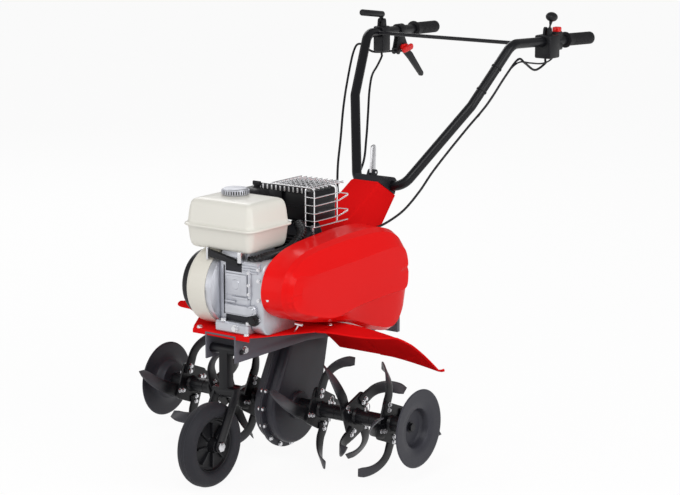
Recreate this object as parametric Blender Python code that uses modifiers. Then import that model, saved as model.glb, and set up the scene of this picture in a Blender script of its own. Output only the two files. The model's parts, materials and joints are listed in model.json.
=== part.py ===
"""Petrol tiller: belt and chain drive to a tine rotor, front transport wheel, tilting handlebar.

Metres, +Z up. The machine drives towards -Y and its belt cover is on +X. Every piece is drawn in the
machine's own frame, whose y = 0 is the rotor axis, and hangs from one empty that centres the machine.
"""
from math import acos, atan2, cos, hypot, pi, radians, sin

import bmesh
import bpy
from mathutils import Matrix, Vector

OBJECT_NAME = "tiller"
CLEARANCE = 0.0003
WELD = 0.00001
ARC_STEPS = 6
ROD_SIDES = 12
SHARP_ANGLE = radians(35)

# Tine rotor
HUB_X = (0.100, 0.205, 0.305)
HUB_PLATE = 0.092
HUB_THICKNESS = 0.006
HUB_CORNER = 0.012
SHAFT_RADIUS = 0.0125
SLEEVE_RADIUS = 0.018
SLEEVE_START = 0.0415
TINE_REACH = 0.130
TINE_SETS = ("inner", "middle", "outer")
BLADES = 4
BLADE_ROOT = 0.034
BLADE_ROOT_WIDTH = 0.036
BLADE_TIP_WIDTH = 0.026
BLADE_THICKNESS = 0.005
BLADE_SWEEP = radians(40)
BLADE_BEND = 0.054
BEND_START = 0.42
BEND_TURN = radians(78)
BLADE_STEPS = 8
HUB_STAGGER = radians(-42)
TIP_PHASE = radians(-28)
DISC_X = 0.383
DISC_RADIUS = 0.0937
DISC_CUP_RADIUS = 0.046
DISC_CUP_DEPTH = 0.022
DISC_SHEET = 0.003

# Chain case and its drive
INPUT_Y = 0.115
INPUT_Z = 0.440
INPUT_RADIUS = 0.010
CASE_LOW_RADIUS = 0.108
CASE_TOP_RADIUS = 0.064
CASE_FLANGE = 0.013
CASE_FLANGE_THICKNESS = 0.004
CASE_HALF_WIDTH = 0.032
CASE_WALL = 0.003
CASE_STEPS = 10
CASE_BOSS_END = 0.0405
CASE_BOSS_RADIUS = 0.034
SPROCKET_TEETH = 18
CHAIN_ROOM = 0.015
SPROCKET_RADIUS = CASE_LOW_RADIUS - CASE_FLANGE - CASE_WALL - CHAIN_ROOM
PINION_TEETH = 8
PINION_RADIUS = 0.0220
TOOTH_ROOT = 0.28
TOOTH_TIP = 0.12
TOOTH_HEIGHT = 0.005
SPROCKET_THICKNESS = 0.006
CHAIN_GAP = 0.0016
CHAIN_HEIGHT = 0.006
CHAIN_WIDTH = 0.009

# Belt drive
BELT_X = 0.150
BELT_WIDTH = 0.011
BELT_HEIGHT = 0.008
BELT_GAP = 0.0009
DRIVE_PULLEY_RADIUS = 0.036
DRIVEN_PULLEY_RADIUS = 0.090
PULLEY_WIDTH = 0.017
GROOVE_DEPTH = 0.010
IDLER_PULLEY_RADIUS = 0.018
IDLER_WIDTH = 0.012
IDLER_Y = -0.030
IDLER_LIFT = 0.006
IDLER_PIVOT_Y = 0.062
IDLER_PIVOT_Z = 0.530
IDLER_PIN_RADIUS = 0.005
IDLER_ARM_THICKNESS = 0.005

# Frame, deck and fenders
DECK_TOP = 0.360
SHEET = 0.0033
DECK_FRONT = -0.255
DECK_FRONT_HALF = 0.084
DECK_FLARE_Y = -0.112
DECK_HALF = 0.172
SLOT_HALF = 0.050
SLOT_FRONT = -0.0120
FENDER_OUTER = 0.340
FENDER_REAR = 0.150
FENDER_DROP = 0.108
FENDER_SLOPE = 0.016
FENDER_CURVE = 1.25
FENDER_SLANT = 0.050
FENDER_CORNER = 0.095
FENDER_BEND_START = SLOT_FRONT
FENDER_COLUMNS = 6
FENDER_ROWS = 9
FENDER_LEVEL = DECK_HALF + CLEARANCE + (FENDER_OUTER - DECK_HALF - CLEARANCE) / FENDER_COLUMNS
FRAME_HALF = 0.045
FRAME_WALL = 0.004
FRAME_FRONT = -0.256
FRAME_BOTTOM = 0.292
FRAME_WEB_REAR = -0.0085
FRAME_TAIL_Y = 0.200
FRAME_TAIL_Z = 0.272
FRAME_KNEE_Y = 0.230
FRAME_KNEE_Z = 0.312
FRAME_BELLY_Y = 0.020
SPACER_Z = 0.318
SPACER_RADIUS = 0.008
SPACER_Y = (0.050, 0.095)
HITCH_Y = 0.365
HITCH_HALF = 0.075
HITCH_LOW = 0.248
HITCH_HIGH = 0.296
HITCH_PLATE = 0.008
SOCKET_DEPTH = 0.034
SOCKET_HALF = 0.018
DRAG_HALF = 0.011
DRAG_DEPTH = 0.014
DRAG_LOW = 0.215
DRAG_HIGH = 0.500

# Front wheel
WHEEL_Y = -0.300
WHEEL_RADIUS = 0.100
TYRE_WIDTH = 0.045
RIM_RADIUS = 0.064
AXLE_RADIUS = 0.006
ARM_PIVOT_Y = -0.235
ARM_PIVOT_Z = 0.315
ARM_BARREL_RADIUS = 0.012
FORK_CROWN_Z = 0.213
FORK_INNER = 0.0265
FORK_PLATE = 0.006
FORK_END_RADIUS = 0.014

# Engine
CRANK_Y = -0.178
CRANK_Z = 0.455
CRANK_RADIUS = 0.0125
CRANKCASE_RIGHT = -0.035
CRANKCASE_LEFT = 0.075
SIDE_COVER_END = 0.113
CRANKCASE_FRONT = -0.235
CRANKCASE_REAR = -0.085
CRANKCASE_TOP = 0.535
BASE_HEIGHT = 0.026
BASE_OVERHANG = 0.014
RIM_FLANGE_RADIUS = 0.090
SIDE_COVER_CORNER = 0.030
SIDE_COVER_RADIUS = 0.080
CYLINDER_TILT = radians(25)
BARREL_START = 0.085
BARREL_END = 0.165
HEAD_END = 0.215
ROCKER_END = 0.245
CYLINDER_RIGHT = -0.018
CYLINDER_LEFT = 0.094
HEAD_HALF = 0.042
FIN_HALF = 0.052
FIN_PITCH = 0.0125
FIN_THICKNESS = 0.0035
FAN_RADIUS = 0.092
FAN_OUTER_X = -0.095
FAN_SHOULDER = 0.014
FAN_MOUTH = 0.066
FAN_WALL = 0.0025
RECOIL_RADIUS = 0.078
RECOIL_DEPTH = 0.030
FLYWHEEL_RADIUS = 0.076
FLYWHEEL_X = -0.072
FLYWHEEL_WIDTH = 0.020
ROPE_RADIUS = 0.002
ROPE_RISE = 0.050
ROPE_X = -0.110
TANK_LOW = (-0.118, -0.256, 0.550)
TANK_HIGH = (0.094, -0.086, 0.666)
TANK_SEAM_Z = 0.605
TANK_FLANGE = 0.005
TANK_CORNER = 0.028
CAP_X = -0.037
CAP_Y = -0.148
CAP_RADIUS = 0.034
CAP_HEIGHT = 0.016
FILTER_LOW = (-0.130, -0.060, 0.561)
FILTER_HIGH = (-0.037, 0.045, 0.652)
FILTER_KNOB_RADIUS = 0.010
FILTER_KNOB_TOP = 0.676
CARB_LOW = (-0.085, -0.045, 0.500)
CARB_REAR = 0.002
MUFFLER_LOW = (-0.016, -0.016, 0.590)
MUFFLER_HIGH = (0.092, 0.086, 0.666)
MUFFLER_WALL = 0.0025
OUTLET_RADIUS = 0.011
GUARD_GAP = 0.011
GUARD_WIRE = 0.003
OIL_CAP_X = 0.090
OIL_CAP_Z = 0.398
OIL_CAP_RADIUS = 0.013
OIL_CAP_LENGTH = 0.016

# Belt cover
COVER_BACK = SIDE_COVER_END + CLEARANCE
COVER_WALL = 0.0025
COVER_SHOULDER = 0.052
COVER_DEPTH = 0.087
COVER_REAR_SWELL = 0.014

# Handle column and handlebar
COLUMN_HALF = 0.045
COLUMN_WALL = 0.002
COLUMN_ROUNDING = 0.008
TUBE_RADIUS = 0.0125
TUBE_WALL = 0.0016
TUBE_BEND = 0.045
PIVOT_Y = 0.388
PIVOT_Z = 0.618
LOWER_CORNER_X = 0.070
LEG_KNEE = (0.180, 0.533, 0.815)
UPPER_BEND = (0.2240, 0.652, 0.9635)
GRIP_START_Y = 0.8896
GRIP_END = (0.2473, 1.0071, 0.9508)
CROSS_ROD_Y = 0.690
CROSS_ROD_RADIUS = 0.005
GRIP_RADIUS = 0.0165
GRIP_CAP = 0.004
SADDLE_HALF = 0.040
SADDLE_RING = 0.022
LEVER_PIVOT_Y = 0.3575
LEVER_PIVOT_Z = 0.653
LEVER_LENGTH = 0.062
LEVER_HALF = 0.0035
LEVER_PIN_RADIUS = 0.004
EAR_HALF = 0.011

# Controls on the handlebar
CLUTCH_Y = 0.815
CLUTCH_PIVOT_Y = 0.838
CLUTCH_PIVOT_DROP = 0.05267
CLUTCH_TIP_Y = 0.922
CLUTCH_TIP_DROP = 0.12867
CLUTCH_PIN_RADIUS = 0.004
CLAMP_HALF = 0.010
BRACKET_REACH = 0.012
BRACKET_HALF = 0.009
LOCK_PIVOT_Y = 0.815
LOCK_PIVOT_DROP = 0.04567
THROTTLE_Y = 0.810
BOX_HALF_X = 0.024
BOX_HALF_Y = 0.025
THROTTLE_BOX_LOW = 0.043
THROTTLE_BOX_HIGH = 0.017
THROTTLE_PIVOT_RISE = 0.030
EAR_RADIUS = 0.007
EAR_ROOT_RADIUS = 0.009
EAR_THICKNESS = 0.006
BLADE_HALF = 0.003
THROTTLE_KNOB_RISE = 0.03815
THROTTLE_KNOB_BACK = 0.020
STOP_Y = 0.853
STOP_RADIUS = 0.008
STOP_SEAT = 0.024
STOP_HEIGHT = 0.010
STOP_SUNK = 0.003
STOP_POCKET = 0.0078
SHIFT_Y = 0.724
SHIFT_BOX_HALF_X = 0.0165
SHIFT_BOX_HALF_Y = 0.018
SHIFT_BOX_LOW = 0.052
SHIFT_BOX_HIGH = 0.016
SHIFT_KNOB_RADIUS = 0.0085
SHIFT_KNOB_GAP = 0.00157
SHIFT_KNOB_TILT = 0.012
SHIFT_KNOB_FRONT = 0.632
CABLE_RADIUS = 0.003


def blade_point(share, phase, side):
    """Point on a blade's centre line, about the rotor axis; share runs from 0 at the root to 1."""
    angle = phase + BLADE_SWEEP * (1.0 - share)
    curl = BEND_TURN * max(0.0, (share - BEND_START) / (1.0 - BEND_START))
    bend_radius = BLADE_BEND / (1.0 - cos(BEND_TURN))
    bend_root = TINE_REACH - bend_radius * sin(BEND_TURN)
    straight = min(share / BEND_START, 1.0)
    radius = BLADE_ROOT + (bend_root - BLADE_ROOT) * straight + bend_radius * sin(curl)
    seat = (HUB_THICKNESS + BLADE_THICKNESS) / 2 - 2 * CLEARANCE
    across = side * (seat + bend_radius * (1.0 - cos(curl)))
    return Vector((across, radius * cos(angle), radius * sin(angle)))


def blade_sections(phase, side):
    """Corners of a blade's cross sections from root to tip; phase is the angle of its tip."""
    nudge = 0.01
    corners = ((-1, -1), (1, -1), (1, 1), (-1, 1))
    sections = []
    for step in range(BLADE_STEPS + 1):
        share = step / BLADE_STEPS
        centre = blade_point(share, phase, side)
        ahead = blade_point(share + nudge, phase, side)
        behind = blade_point(share - nudge, phase, side)
        along = (ahead - behind).normalized()
        across = Vector((1.0, 0.0, 0.0)).cross(along).normalized()
        face = along.cross(across)
        half_width = (BLADE_ROOT_WIDTH + (BLADE_TIP_WIDTH - BLADE_ROOT_WIDTH) * share) / 2
        half_thickness = BLADE_THICKNESS / 2
        sections.append([centre + across * half_width * a + face * half_thickness * b for a, b in corners])
    return sections


def hub_phase(index):
    """Angle of the first blade's tip on one hub; neighbouring hubs are staggered."""
    return TIP_PHASE + HUB_STAGGER * index


def rotor_drop():
    """Depth of the lowest blade corner below the rotor axis, on which the machine stands."""
    lowest = 0.0
    for index in range(len(HUB_X)):
        for blade in range(BLADES):
            phase = hub_phase(index) + blade * 2 * pi / BLADES
            for section in blade_sections(phase, 1 if blade % 2 else -1):
                lowest = min(lowest, min(corner.z for corner in section))
    return -lowest


AXLE_Z = rotor_drop()
FRAME_TOP = DECK_TOP - SHEET - CLEARANCE
SEAT_Z = DECK_TOP + CLEARANCE
SHAFT_END = DISC_X - DISC_CUP_DEPTH - DISC_SHEET
IDLER_ARM_X = BELT_X + BELT_WIDTH / 2 + 0.004

SIDEWAYS = Matrix(((0, 0, 1, 0), (1, 0, 0, 0), (0, 1, 0, 0), (0, 0, 0, 1)))


def clear_scene():
    """Remove every object that the scene starts with."""
    for obj in list(bpy.data.objects):
        bpy.data.objects.remove(obj, do_unlink=True)


def make_material(name, colour, roughness, metallic=0.0):
    """A Principled BSDF material with one colour."""
    material = bpy.data.materials.new(name)
    material.use_nodes = True
    shader = material.node_tree.nodes["Principled BSDF"]
    shader.inputs["Base Color"].default_value = (*colour, 1.0)
    shader.inputs["Roughness"].default_value = roughness
    shader.inputs["Metallic"].default_value = metallic
    return material


def add_object(name, data):
    """Link a new object for the data into the machine's collection."""
    obj = bpy.data.objects.new(name, data)
    PARTS.objects.link(obj)
    return obj


def mesh_object(name, builder):
    """Object whose mesh is a bmesh with its faces turned outwards."""
    bmesh.ops.remove_doubles(builder, verts=builder.verts, dist=WELD)
    bmesh.ops.recalc_face_normals(builder, faces=builder.faces)
    mesh = bpy.data.meshes.new(name)
    builder.to_mesh(mesh)
    builder.free()
    return add_object(name, mesh)


def bake(obj):
    """Replace an object by a welded mesh of its evaluated shape, in machine coordinates."""
    bpy.context.view_layer.update()
    shape = obj.evaluated_get(bpy.context.evaluated_depsgraph_get())
    mesh = bpy.data.meshes.new_from_object(shape)
    mesh.transform(obj.matrix_world)
    builder = bmesh.new()
    builder.from_mesh(mesh)
    bpy.data.meshes.remove(mesh)
    name = obj.name
    bpy.data.objects.remove(obj, do_unlink=True)
    return mesh_object(name, builder)


def block(name, low, high, bevel=0.0, segments=1):
    """Box between two corners, with its edges bevelled."""
    builder = bmesh.new()
    bmesh.ops.create_cube(builder, size=1.0)
    size = Vector(high) - Vector(low)
    centre = (Vector(high) + Vector(low)) / 2
    builder.transform(Matrix.Translation(centre) @ Matrix.Diagonal((*size, 1.0)))
    obj = mesh_object(name, builder)
    if bevel:
        rounding = obj.modifiers.new("rounding", "BEVEL")
        rounding.width = bevel
        rounding.segments = segments
        obj = bake(obj)
    return obj


def facing(base, direction):
    """Matrix that carries the local Z axis onto a direction at a base point."""
    turn = Vector((0.0, 0.0, 1.0)).rotation_difference(Vector(direction)).to_matrix().to_4x4()
    return Matrix.Translation(Vector(base)) @ turn


def rod(name, start, end, radius, sides=ROD_SIDES):
    """Round bar between two points."""
    span = Vector(end) - Vector(start)
    builder = bmesh.new()
    bmesh.ops.create_cone(
        builder, cap_ends=True, segments=sides, radius1=radius, radius2=radius, depth=span.length
    )
    builder.transform(facing(Vector(start) + span / 2, span))
    return mesh_object(name, builder)


def running_bore(radius, sides=ROD_SIDES):
    """Radius of a faceted bore in which a shaft of that radius turns freely."""
    return (radius + CLEARANCE) / cos(pi / sides)


def turned(name, profile, base, direction, sides=20, ring=False):
    """Turned piece: (radius, height) pairs down its outer side; a ring closes its profile."""
    builder = bmesh.new()
    points = [builder.verts.new((radius, 0.0, height)) for radius, height in profile]
    pairs = list(zip(points, points[1:]))
    if ring:
        pairs.append((points[-1], points[0]))
    for first, second in pairs:
        builder.edges.new((first, second))
    mesh = bpy.data.meshes.new(name)
    builder.to_mesh(mesh)
    builder.free()
    obj = add_object(name, mesh)
    screw = obj.modifiers.new("turning", "SCREW")
    screw.steps = sides
    screw.render_steps = sides
    screw.use_merge_vertices = True
    screw.merge_threshold = WELD
    obj.matrix_world = facing(base, direction)
    return bake(obj)


def plate(name, outlines, start, end, rounding=0.0):
    """Flat piece across the machine from start to end: its edge first, then the outlines of its holes."""
    curve = bpy.data.curves.new(name, "CURVE")
    curve.dimensions = "2D"
    curve.fill_mode = "BOTH"
    curve.extrude = (end - start) / 2 - rounding
    curve.bevel_depth = rounding
    curve.bevel_resolution = 1
    curve.offset = -rounding
    curve.render_resolution_u = 0
    for outline in outlines:
        spline = curve.splines.new("POLY")
        spline.points.add(len(outline) - 1)
        spline.use_cyclic_u = True
        for point, (u, v) in zip(spline.points, outline):
            point.co = (u, v, 0.0, 1.0)
    obj = add_object(name, curve)
    obj.matrix_world = SIDEWAYS @ Matrix.Translation((0.0, 0.0, (start + end) / 2))
    return bake(obj)


def tube(name, points, radius, resolution=1, wall=0.0):
    """Bent round bar along points; with a wall it is a pipe, open at both ends."""
    curve = bpy.data.curves.new(name, "CURVE")
    curve.dimensions = "3D"
    curve.bevel_depth = radius
    curve.bevel_resolution = resolution
    curve.use_fill_caps = not wall
    curve.render_resolution_u = 0
    spline = curve.splines.new("POLY")
    spline.points.add(len(points) - 1)
    for point, place in zip(spline.points, points):
        point.co = (*place, 1.0)
    obj = bake(add_object(name, curve))
    if wall:
        shell = obj.modifiers.new("wall", "SOLIDIFY")
        shell.thickness = wall
        shell.offset = -1.0
        obj = bake(obj)
    return obj


def loft(name, sections):
    """Closed solid through sections with the same number of points."""
    builder = bmesh.new()
    rings = [[builder.verts.new(point) for point in section] for section in sections]
    for low, high in zip(rings, rings[1:]):
        for index in range(len(low)):
            after = (index + 1) % len(low)
            builder.faces.new((low[index], low[after], high[after], high[index]))
    builder.faces.new(list(reversed(rings[0])))
    builder.faces.new(rings[-1])
    return mesh_object(name, builder)


def combine(target, others, operation):
    """Boolean of a piece with others, which are used up."""
    for other in others:
        step = target.modifiers.new("combine", "BOOLEAN")
        step.operation = operation
        step.object = other
        target = bake(target)
        bpy.data.objects.remove(other, do_unlink=True)
    return target


def join(target, *others):
    """Weld pieces into one body."""
    return combine(target, others, "UNION")


def cut(target, *others):
    """Take pieces out of a body."""
    return combine(target, others, "DIFFERENCE")


def settle(obj, material, pivot=(0.0, 0.0, 0.0)):
    """Give a finished piece a material of its own and its origin, and hang it from the machine."""
    mesh = obj.data
    finish = material.copy()
    finish.name = f"{obj.name}_{material.name}"
    mesh.materials.clear()
    mesh.materials.append(finish)
    mesh.transform(Matrix.Translation(-Vector(pivot)))
    mesh.shade_smooth()
    mesh.set_sharp_from_angle(angle=SHARP_ANGLE)
    obj.location = pivot
    obj.parent = MACHINE
    return obj


def arc(centre, radius, start, end, steps=ARC_STEPS):
    """Points along an arc, both ends included."""
    turn = (end - start) / steps
    angles = [start + turn * step for step in range(steps + 1)]
    return [(centre[0] + radius * cos(angle), centre[1] + radius * sin(angle)) for angle in angles]


def circle(centre, radius, sides=16):
    """Points of a full circle."""
    return arc(centre, radius, 0.0, 2 * pi * (sides - 1) / sides, sides - 1)


def band(first, first_radius, second, second_radius, steps=ARC_STEPS):
    """Outline that wraps two circles, as a belt does."""
    heading = atan2(second[1] - first[1], second[0] - first[0])
    spread = acos((first_radius - second_radius) / hypot(second[0] - first[0], second[1] - first[1]))
    back = arc(first, first_radius, heading + spread, heading + 2 * pi - spread, steps)
    return back + arc(second, second_radius, heading - spread, heading + spread, steps)


def rounded_rectangle(low, high, radius, steps=4):
    """Rectangle with round corners, counter-clockwise."""
    centres = (
        (high[0] - radius, high[1] - radius),
        (low[0] + radius, high[1] - radius),
        (low[0] + radius, low[1] + radius),
        (high[0] - radius, low[1] + radius),
    )
    points = []
    for corner, centre in enumerate(centres):
        points += arc(centre, radius, corner * pi / 2, (corner + 1) * pi / 2, steps)
    return points


def gear_outline(teeth, radius, centre):
    """Toothed wheel: each tooth is a trapezium between the root and the tip circle."""
    points = []
    root = radius - TOOTH_HEIGHT
    shares = ((-TOOTH_ROOT, root), (-TOOTH_TIP, radius), (TOOTH_TIP, radius), (TOOTH_ROOT, root))
    for tooth in range(teeth):
        for share, reach in shares:
            angle = 2 * pi * (tooth + share) / teeth
            points.append((centre[0] + reach * cos(angle), centre[1] + reach * sin(angle)))
    return points


def smooth(points, steps=4, closed=False):
    """Catmull-Rom curve through points of any dimension."""
    count = len(points)
    places = [Vector(point) for point in points]
    result = []
    for index in range(count if closed else count - 1):
        if closed:
            a, b, c, d = (places[(index + shift) % count] for shift in (-1, 0, 1, 2))
        else:
            b, c = places[index], places[index + 1]
            a = places[index - 1] if index else b
            d = places[index + 2] if index + 2 < count else c
        for step in range(steps):
            t = step / steps
            bend = (2 * a - 5 * b + 4 * c - d) * t * t + (3 * b - a - 3 * c + d) * t ** 3
            result.append((2 * b + (c - a) * t + bend) / 2)
    if not closed:
        result.append(places[-1])
    return [tuple(point) for point in result]


def bent(points, radius, steps=5):
    """Path of straight runs with its corners rounded to a bend radius."""
    places = [Vector(point) for point in points]
    path = [places[0]]
    for before, corner, after in zip(places, places[1:], places[2:]):
        back = (before - corner).normalized()
        ahead = (after - corner).normalized()
        half = back.angle(ahead) / 2
        reach = radius * cos(half) / sin(half)
        middle = corner + (back + ahead).normalized() * radius / sin(half)
        start = corner + back * reach - middle
        end = corner + ahead * reach - middle
        sweep = start.angle(end)
        for step in range(steps + 1):
            share = step / steps
            spoke = start * sin((1 - share) * sweep) + end * sin(share * sweep)
            path.append(middle + spoke / sin(sweep))
    path.append(places[-1])
    return [tuple(point) for point in path]


def spread_x(inner, outer, side):
    """The lower and higher X of a piece that lies between two distances on one side."""
    return sorted((inner * side, outer * side))


def tube_height(y):
    """Height of the handlebar's centre line over its straight upper run."""
    share = (y - UPPER_BEND[1]) / (GRIP_END[1] - UPPER_BEND[1])
    return UPPER_BEND[2] + (GRIP_END[2] - UPPER_BEND[2]) * share


def tube_offset(y):
    """Distance of the handlebar's centre line from the middle over its straight upper run."""
    share = (y - UPPER_BEND[1]) / (GRIP_END[1] - UPPER_BEND[1])
    return UPPER_BEND[0] + (GRIP_END[0] - UPPER_BEND[0]) * share


def build_rotor():
    """Rotor shaft with its sprocket, six tine sets and two outer discs."""
    axis = (0.0, 0.0, AXLE_Z)
    shaft = rod("rotor_shaft", (-SHAFT_END, 0.0, AXLE_Z), (SHAFT_END, 0.0, AXLE_Z), SHAFT_RADIUS)
    teeth = gear_outline(SPROCKET_TEETH, SPROCKET_RADIUS, (0.0, AXLE_Z))
    wheel = plate("sprocket", [teeth], -SPROCKET_THICKNESS / 2, SPROCKET_THICKNESS / 2)
    settle(join(shaft, wheel), STEEL, axis)
    for side, side_name in ((1, "left"), (-1, "right")):
        for index, set_name in enumerate(TINE_SETS):
            build_tine_set(f"{side_name}_{set_name}_tines", index, side)
        build_disc(f"{side_name}_disc", side)


def sleeve_ends(index):
    """Where a tine set's sleeve starts and ends along the shaft."""
    start = SLEEVE_START if index == 0 else (HUB_X[index - 1] + HUB_X[index]) / 2
    last = index + 1 == len(HUB_X)
    end = SHAFT_END - CLEARANCE if last else (HUB_X[index] + HUB_X[index + 1]) / 2 - CLEARANCE
    return start, end


def build_tine_set(name, index, side):
    """Sleeve, square hub plate and four curved blades that bend to either side in turn."""
    start, end = spread_x(*sleeve_ends(index), side)
    bore = SHAFT_RADIUS + CLEARANCE
    profile = [
        (SLEEVE_RADIUS, end - start), (SLEEVE_RADIUS, 0.0), (bore, 0.0), (bore, end - start),
    ]
    tines = turned(name, profile, (start, 0.0, AXLE_Z), (1.0, 0.0, 0.0), sides=16, ring=True)
    half = HUB_PLATE / 2
    square = rounded_rectangle((-half, -half), (half, half), HUB_CORNER, 2)
    hole = circle((0.0, 0.0), (SLEEVE_RADIUS + bore) / 2, 16)
    hub_x = HUB_X[index] * side
    phase = hub_phase(index)
    hub = plate("hub", [square, hole], -HUB_THICKNESS / 2, HUB_THICKNESS / 2)
    hub.data.transform(Matrix.Translation((hub_x, 0.0, AXLE_Z)) @ Matrix.Rotation(phase, 4, "X"))
    blades = []
    for blade in range(BLADES):
        bend_side = 1 if blade % 2 else -1
        sections = blade_sections(phase + blade * 2 * pi / BLADES, bend_side * side)
        sections = [[point + Vector((hub_x, 0.0, AXLE_Z)) for point in section] for section in sections]
        blades.append(loft("blade", sections))
    settle(join(tines, hub, *blades), BLACK_PAINT, (0.0, 0.0, AXLE_Z))


def build_disc(name, side):
    """Dished outer disc, bolted to the shaft's end by the floor of its cup."""
    floor = DISC_X - DISC_CUP_DEPTH - DISC_SHEET + CLEARANCE
    draft = 0.004
    bolt_radius, bolt_height = 0.011, 0.008
    top = floor + DISC_SHEET
    profile = [
        (0.0, top + bolt_height), (bolt_radius, top + bolt_height), (bolt_radius, top),
        (DISC_CUP_RADIUS - draft, top), (DISC_CUP_RADIUS, DISC_X), (DISC_RADIUS, DISC_X + draft),
        (DISC_RADIUS, DISC_X + draft - DISC_SHEET), (DISC_CUP_RADIUS + DISC_SHEET, DISC_X - DISC_SHEET),
        (DISC_CUP_RADIUS - draft + DISC_SHEET, floor), (0.0, floor),
    ]
    disc = turned(name, profile, (0.0, 0.0, AXLE_Z), (side, 0.0, 0.0), sides=28)
    settle(disc, DARK_STEEL, (0.0, 0.0, AXLE_Z))


def build_chain_case():
    """Two pressed halves, the input shaft with its pinion, and the chain inside."""
    for side, name in ((1, "chain_case_left"), (-1, "chain_case_right")):
        build_case_half(name, side)
    axis = (0.0, INPUT_Y, INPUT_Z)
    end = BELT_X + PULLEY_WIDTH / 2 + CASE_WALL
    shaft = rod("input_shaft", (-CASE_BOSS_END, INPUT_Y, INPUT_Z), (end, INPUT_Y, INPUT_Z), INPUT_RADIUS)
    teeth = gear_outline(PINION_TEETH, PINION_RADIUS, (INPUT_Y, INPUT_Z))
    pinion = plate("pinion", [teeth], -SPROCKET_THICKNESS / 2, SPROCKET_THICKNESS / 2)
    settle(join(shaft, pinion), STEEL, axis)
    loops = []
    for height in (CHAIN_GAP + CHAIN_HEIGHT, CHAIN_GAP):
        loops.append(case_outline(SPROCKET_RADIUS + height, PINION_RADIUS + height, CASE_STEPS))
    settle(plate("drive_chain", loops, -CHAIN_WIDTH / 2, CHAIN_WIDTH / 2), STEEL)


def case_outline(low_radius, top_radius, steps=ARC_STEPS):
    """Band around the rotor axis and the input axis."""
    return band((0.0, AXLE_Z), low_radius, (INPUT_Y, INPUT_Z), top_radius, steps)


def build_case_half(name, side):
    """Flanged pan with a bearing boss at each shaft, open at the middle plane."""
    rounding = 0.009
    margin = 0.02
    near, far = spread_x(CLEARANCE / 2, CASE_FLANGE_THICKNESS, side)
    half = plate(name, [case_outline(CASE_LOW_RADIUS, CASE_TOP_RADIUS, CASE_STEPS)], near, far)
    low, top = CASE_LOW_RADIUS - CASE_FLANGE, CASE_TOP_RADIUS - CASE_FLANGE
    near, far = spread_x(-margin, CASE_HALF_WIDTH, side)
    pan = plate("pan", [case_outline(low, top, CASE_STEPS)], near, far, rounding=rounding)
    reach = 2.0 * (CASE_LOW_RADIUS + INPUT_Z)
    near, far = spread_x(-2 * margin, CLEARANCE / 2, side)
    pan = cut(pan, block("beyond", (near, -reach, -reach), (far, reach, reach)))
    near, far = spread_x(-margin, CASE_HALF_WIDTH - CASE_WALL, side)
    inside = [case_outline(low - CASE_WALL, top - CASE_WALL, CASE_STEPS)]
    half = cut(join(half, pan), plate("inside", inside, near, far, rounding=rounding - CASE_WALL))
    bores = []
    for y, z, radius in ((0.0, AXLE_Z, SHAFT_RADIUS), (INPUT_Y, INPUT_Z, INPUT_RADIUS)):
        inner, outer = side * (CASE_HALF_WIDTH - CASE_WALL), side * CASE_BOSS_END
        half = join(half, rod("boss", (inner, y, z), (outer, y, z), CASE_BOSS_RADIUS, 20))
        bores.append(rod("bore", (0.0, y, z), (2 * outer, y, z), running_bore(radius)))
    settle(cut(half, *bores), DARK_STEEL)


def pulley(name, radius, axis, bore):
    """Grooved wheel on a shaft along X, at the belt's plane."""
    half = PULLEY_WIDTH / 2
    land = (PULLEY_WIDTH - BELT_WIDTH) / 2 - CLEARANCE
    profile = [
        (radius, half), (radius, half - land), (radius - GROOVE_DEPTH, half - land),
        (radius - GROOVE_DEPTH, land - half), (radius, land - half), (radius, -half),
        (bore + CLEARANCE, -half), (bore + CLEARANCE, half),
    ]
    place = (BELT_X, axis[0], axis[1])
    return settle(turned(name, profile, place, (1.0, 0.0, 0.0), ring=True), ALUMINIUM, place)


def idler_place():
    """Where the idler's axis lies at rest, a little above the belt's upper run."""
    first = (CRANK_Y, CRANK_Z + DRIVE_PULLEY_RADIUS)
    second = (INPUT_Y, INPUT_Z + DRIVEN_PULLEY_RADIUS)
    share = (IDLER_Y - first[0]) / (second[0] - first[0])
    run_z = first[1] + (second[1] - first[1]) * share
    return IDLER_Y, run_z + IDLER_PULLEY_RADIUS + IDLER_LIFT


def build_belt_drive():
    """Pulleys on the crankshaft and the input shaft, the belt, and the idler that tightens it."""
    crank, driven = (CRANK_Y, CRANK_Z), (INPUT_Y, INPUT_Z)
    pulley("drive_pulley", DRIVE_PULLEY_RADIUS, crank, CRANK_RADIUS)
    pulley("driven_pulley", DRIVEN_PULLEY_RADIUS, driven, INPUT_RADIUS)
    loops = []
    for height in (BELT_GAP + BELT_HEIGHT, BELT_GAP):
        floor = height - GROOVE_DEPTH
        loops.append(band(crank, DRIVE_PULLEY_RADIUS + floor, driven, DRIVEN_PULLEY_RADIUS + floor, 16))
    belt = plate("drive_belt", loops, BELT_X - BELT_WIDTH / 2, BELT_X + BELT_WIDTH / 2)
    settle(belt, RUBBER)
    idler = idler_place()
    pivot = (IDLER_PIVOT_Y, IDLER_PIVOT_Z)
    hub = 2 * IDLER_PIN_RADIUS
    holes = [circle(pivot, IDLER_PIN_RADIUS + CLEARANCE, 16)]
    arm_end = IDLER_ARM_X + IDLER_ARM_THICKNESS
    arm = plate("idler_arm", [band(pivot, hub, idler, hub)] + holes, IDLER_ARM_X, arm_end)
    pin_start = (BELT_X - IDLER_WIDTH / 2, *idler)
    pin = rod("pin", pin_start, (arm_end, *idler), IDLER_PIN_RADIUS)
    settle(join(arm, pin), STEEL, (IDLER_ARM_X, *pivot))
    half = IDLER_WIDTH / 2
    bore = IDLER_PIN_RADIUS + CLEARANCE
    profile = [(IDLER_PULLEY_RADIUS, half), (IDLER_PULLEY_RADIUS, -half), (bore, -half), (bore, half)]
    place = (BELT_X, *idler)
    settle(turned("idler_pulley", profile, place, (1.0, 0.0, 0.0), ring=True), STEEL, place)


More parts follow.
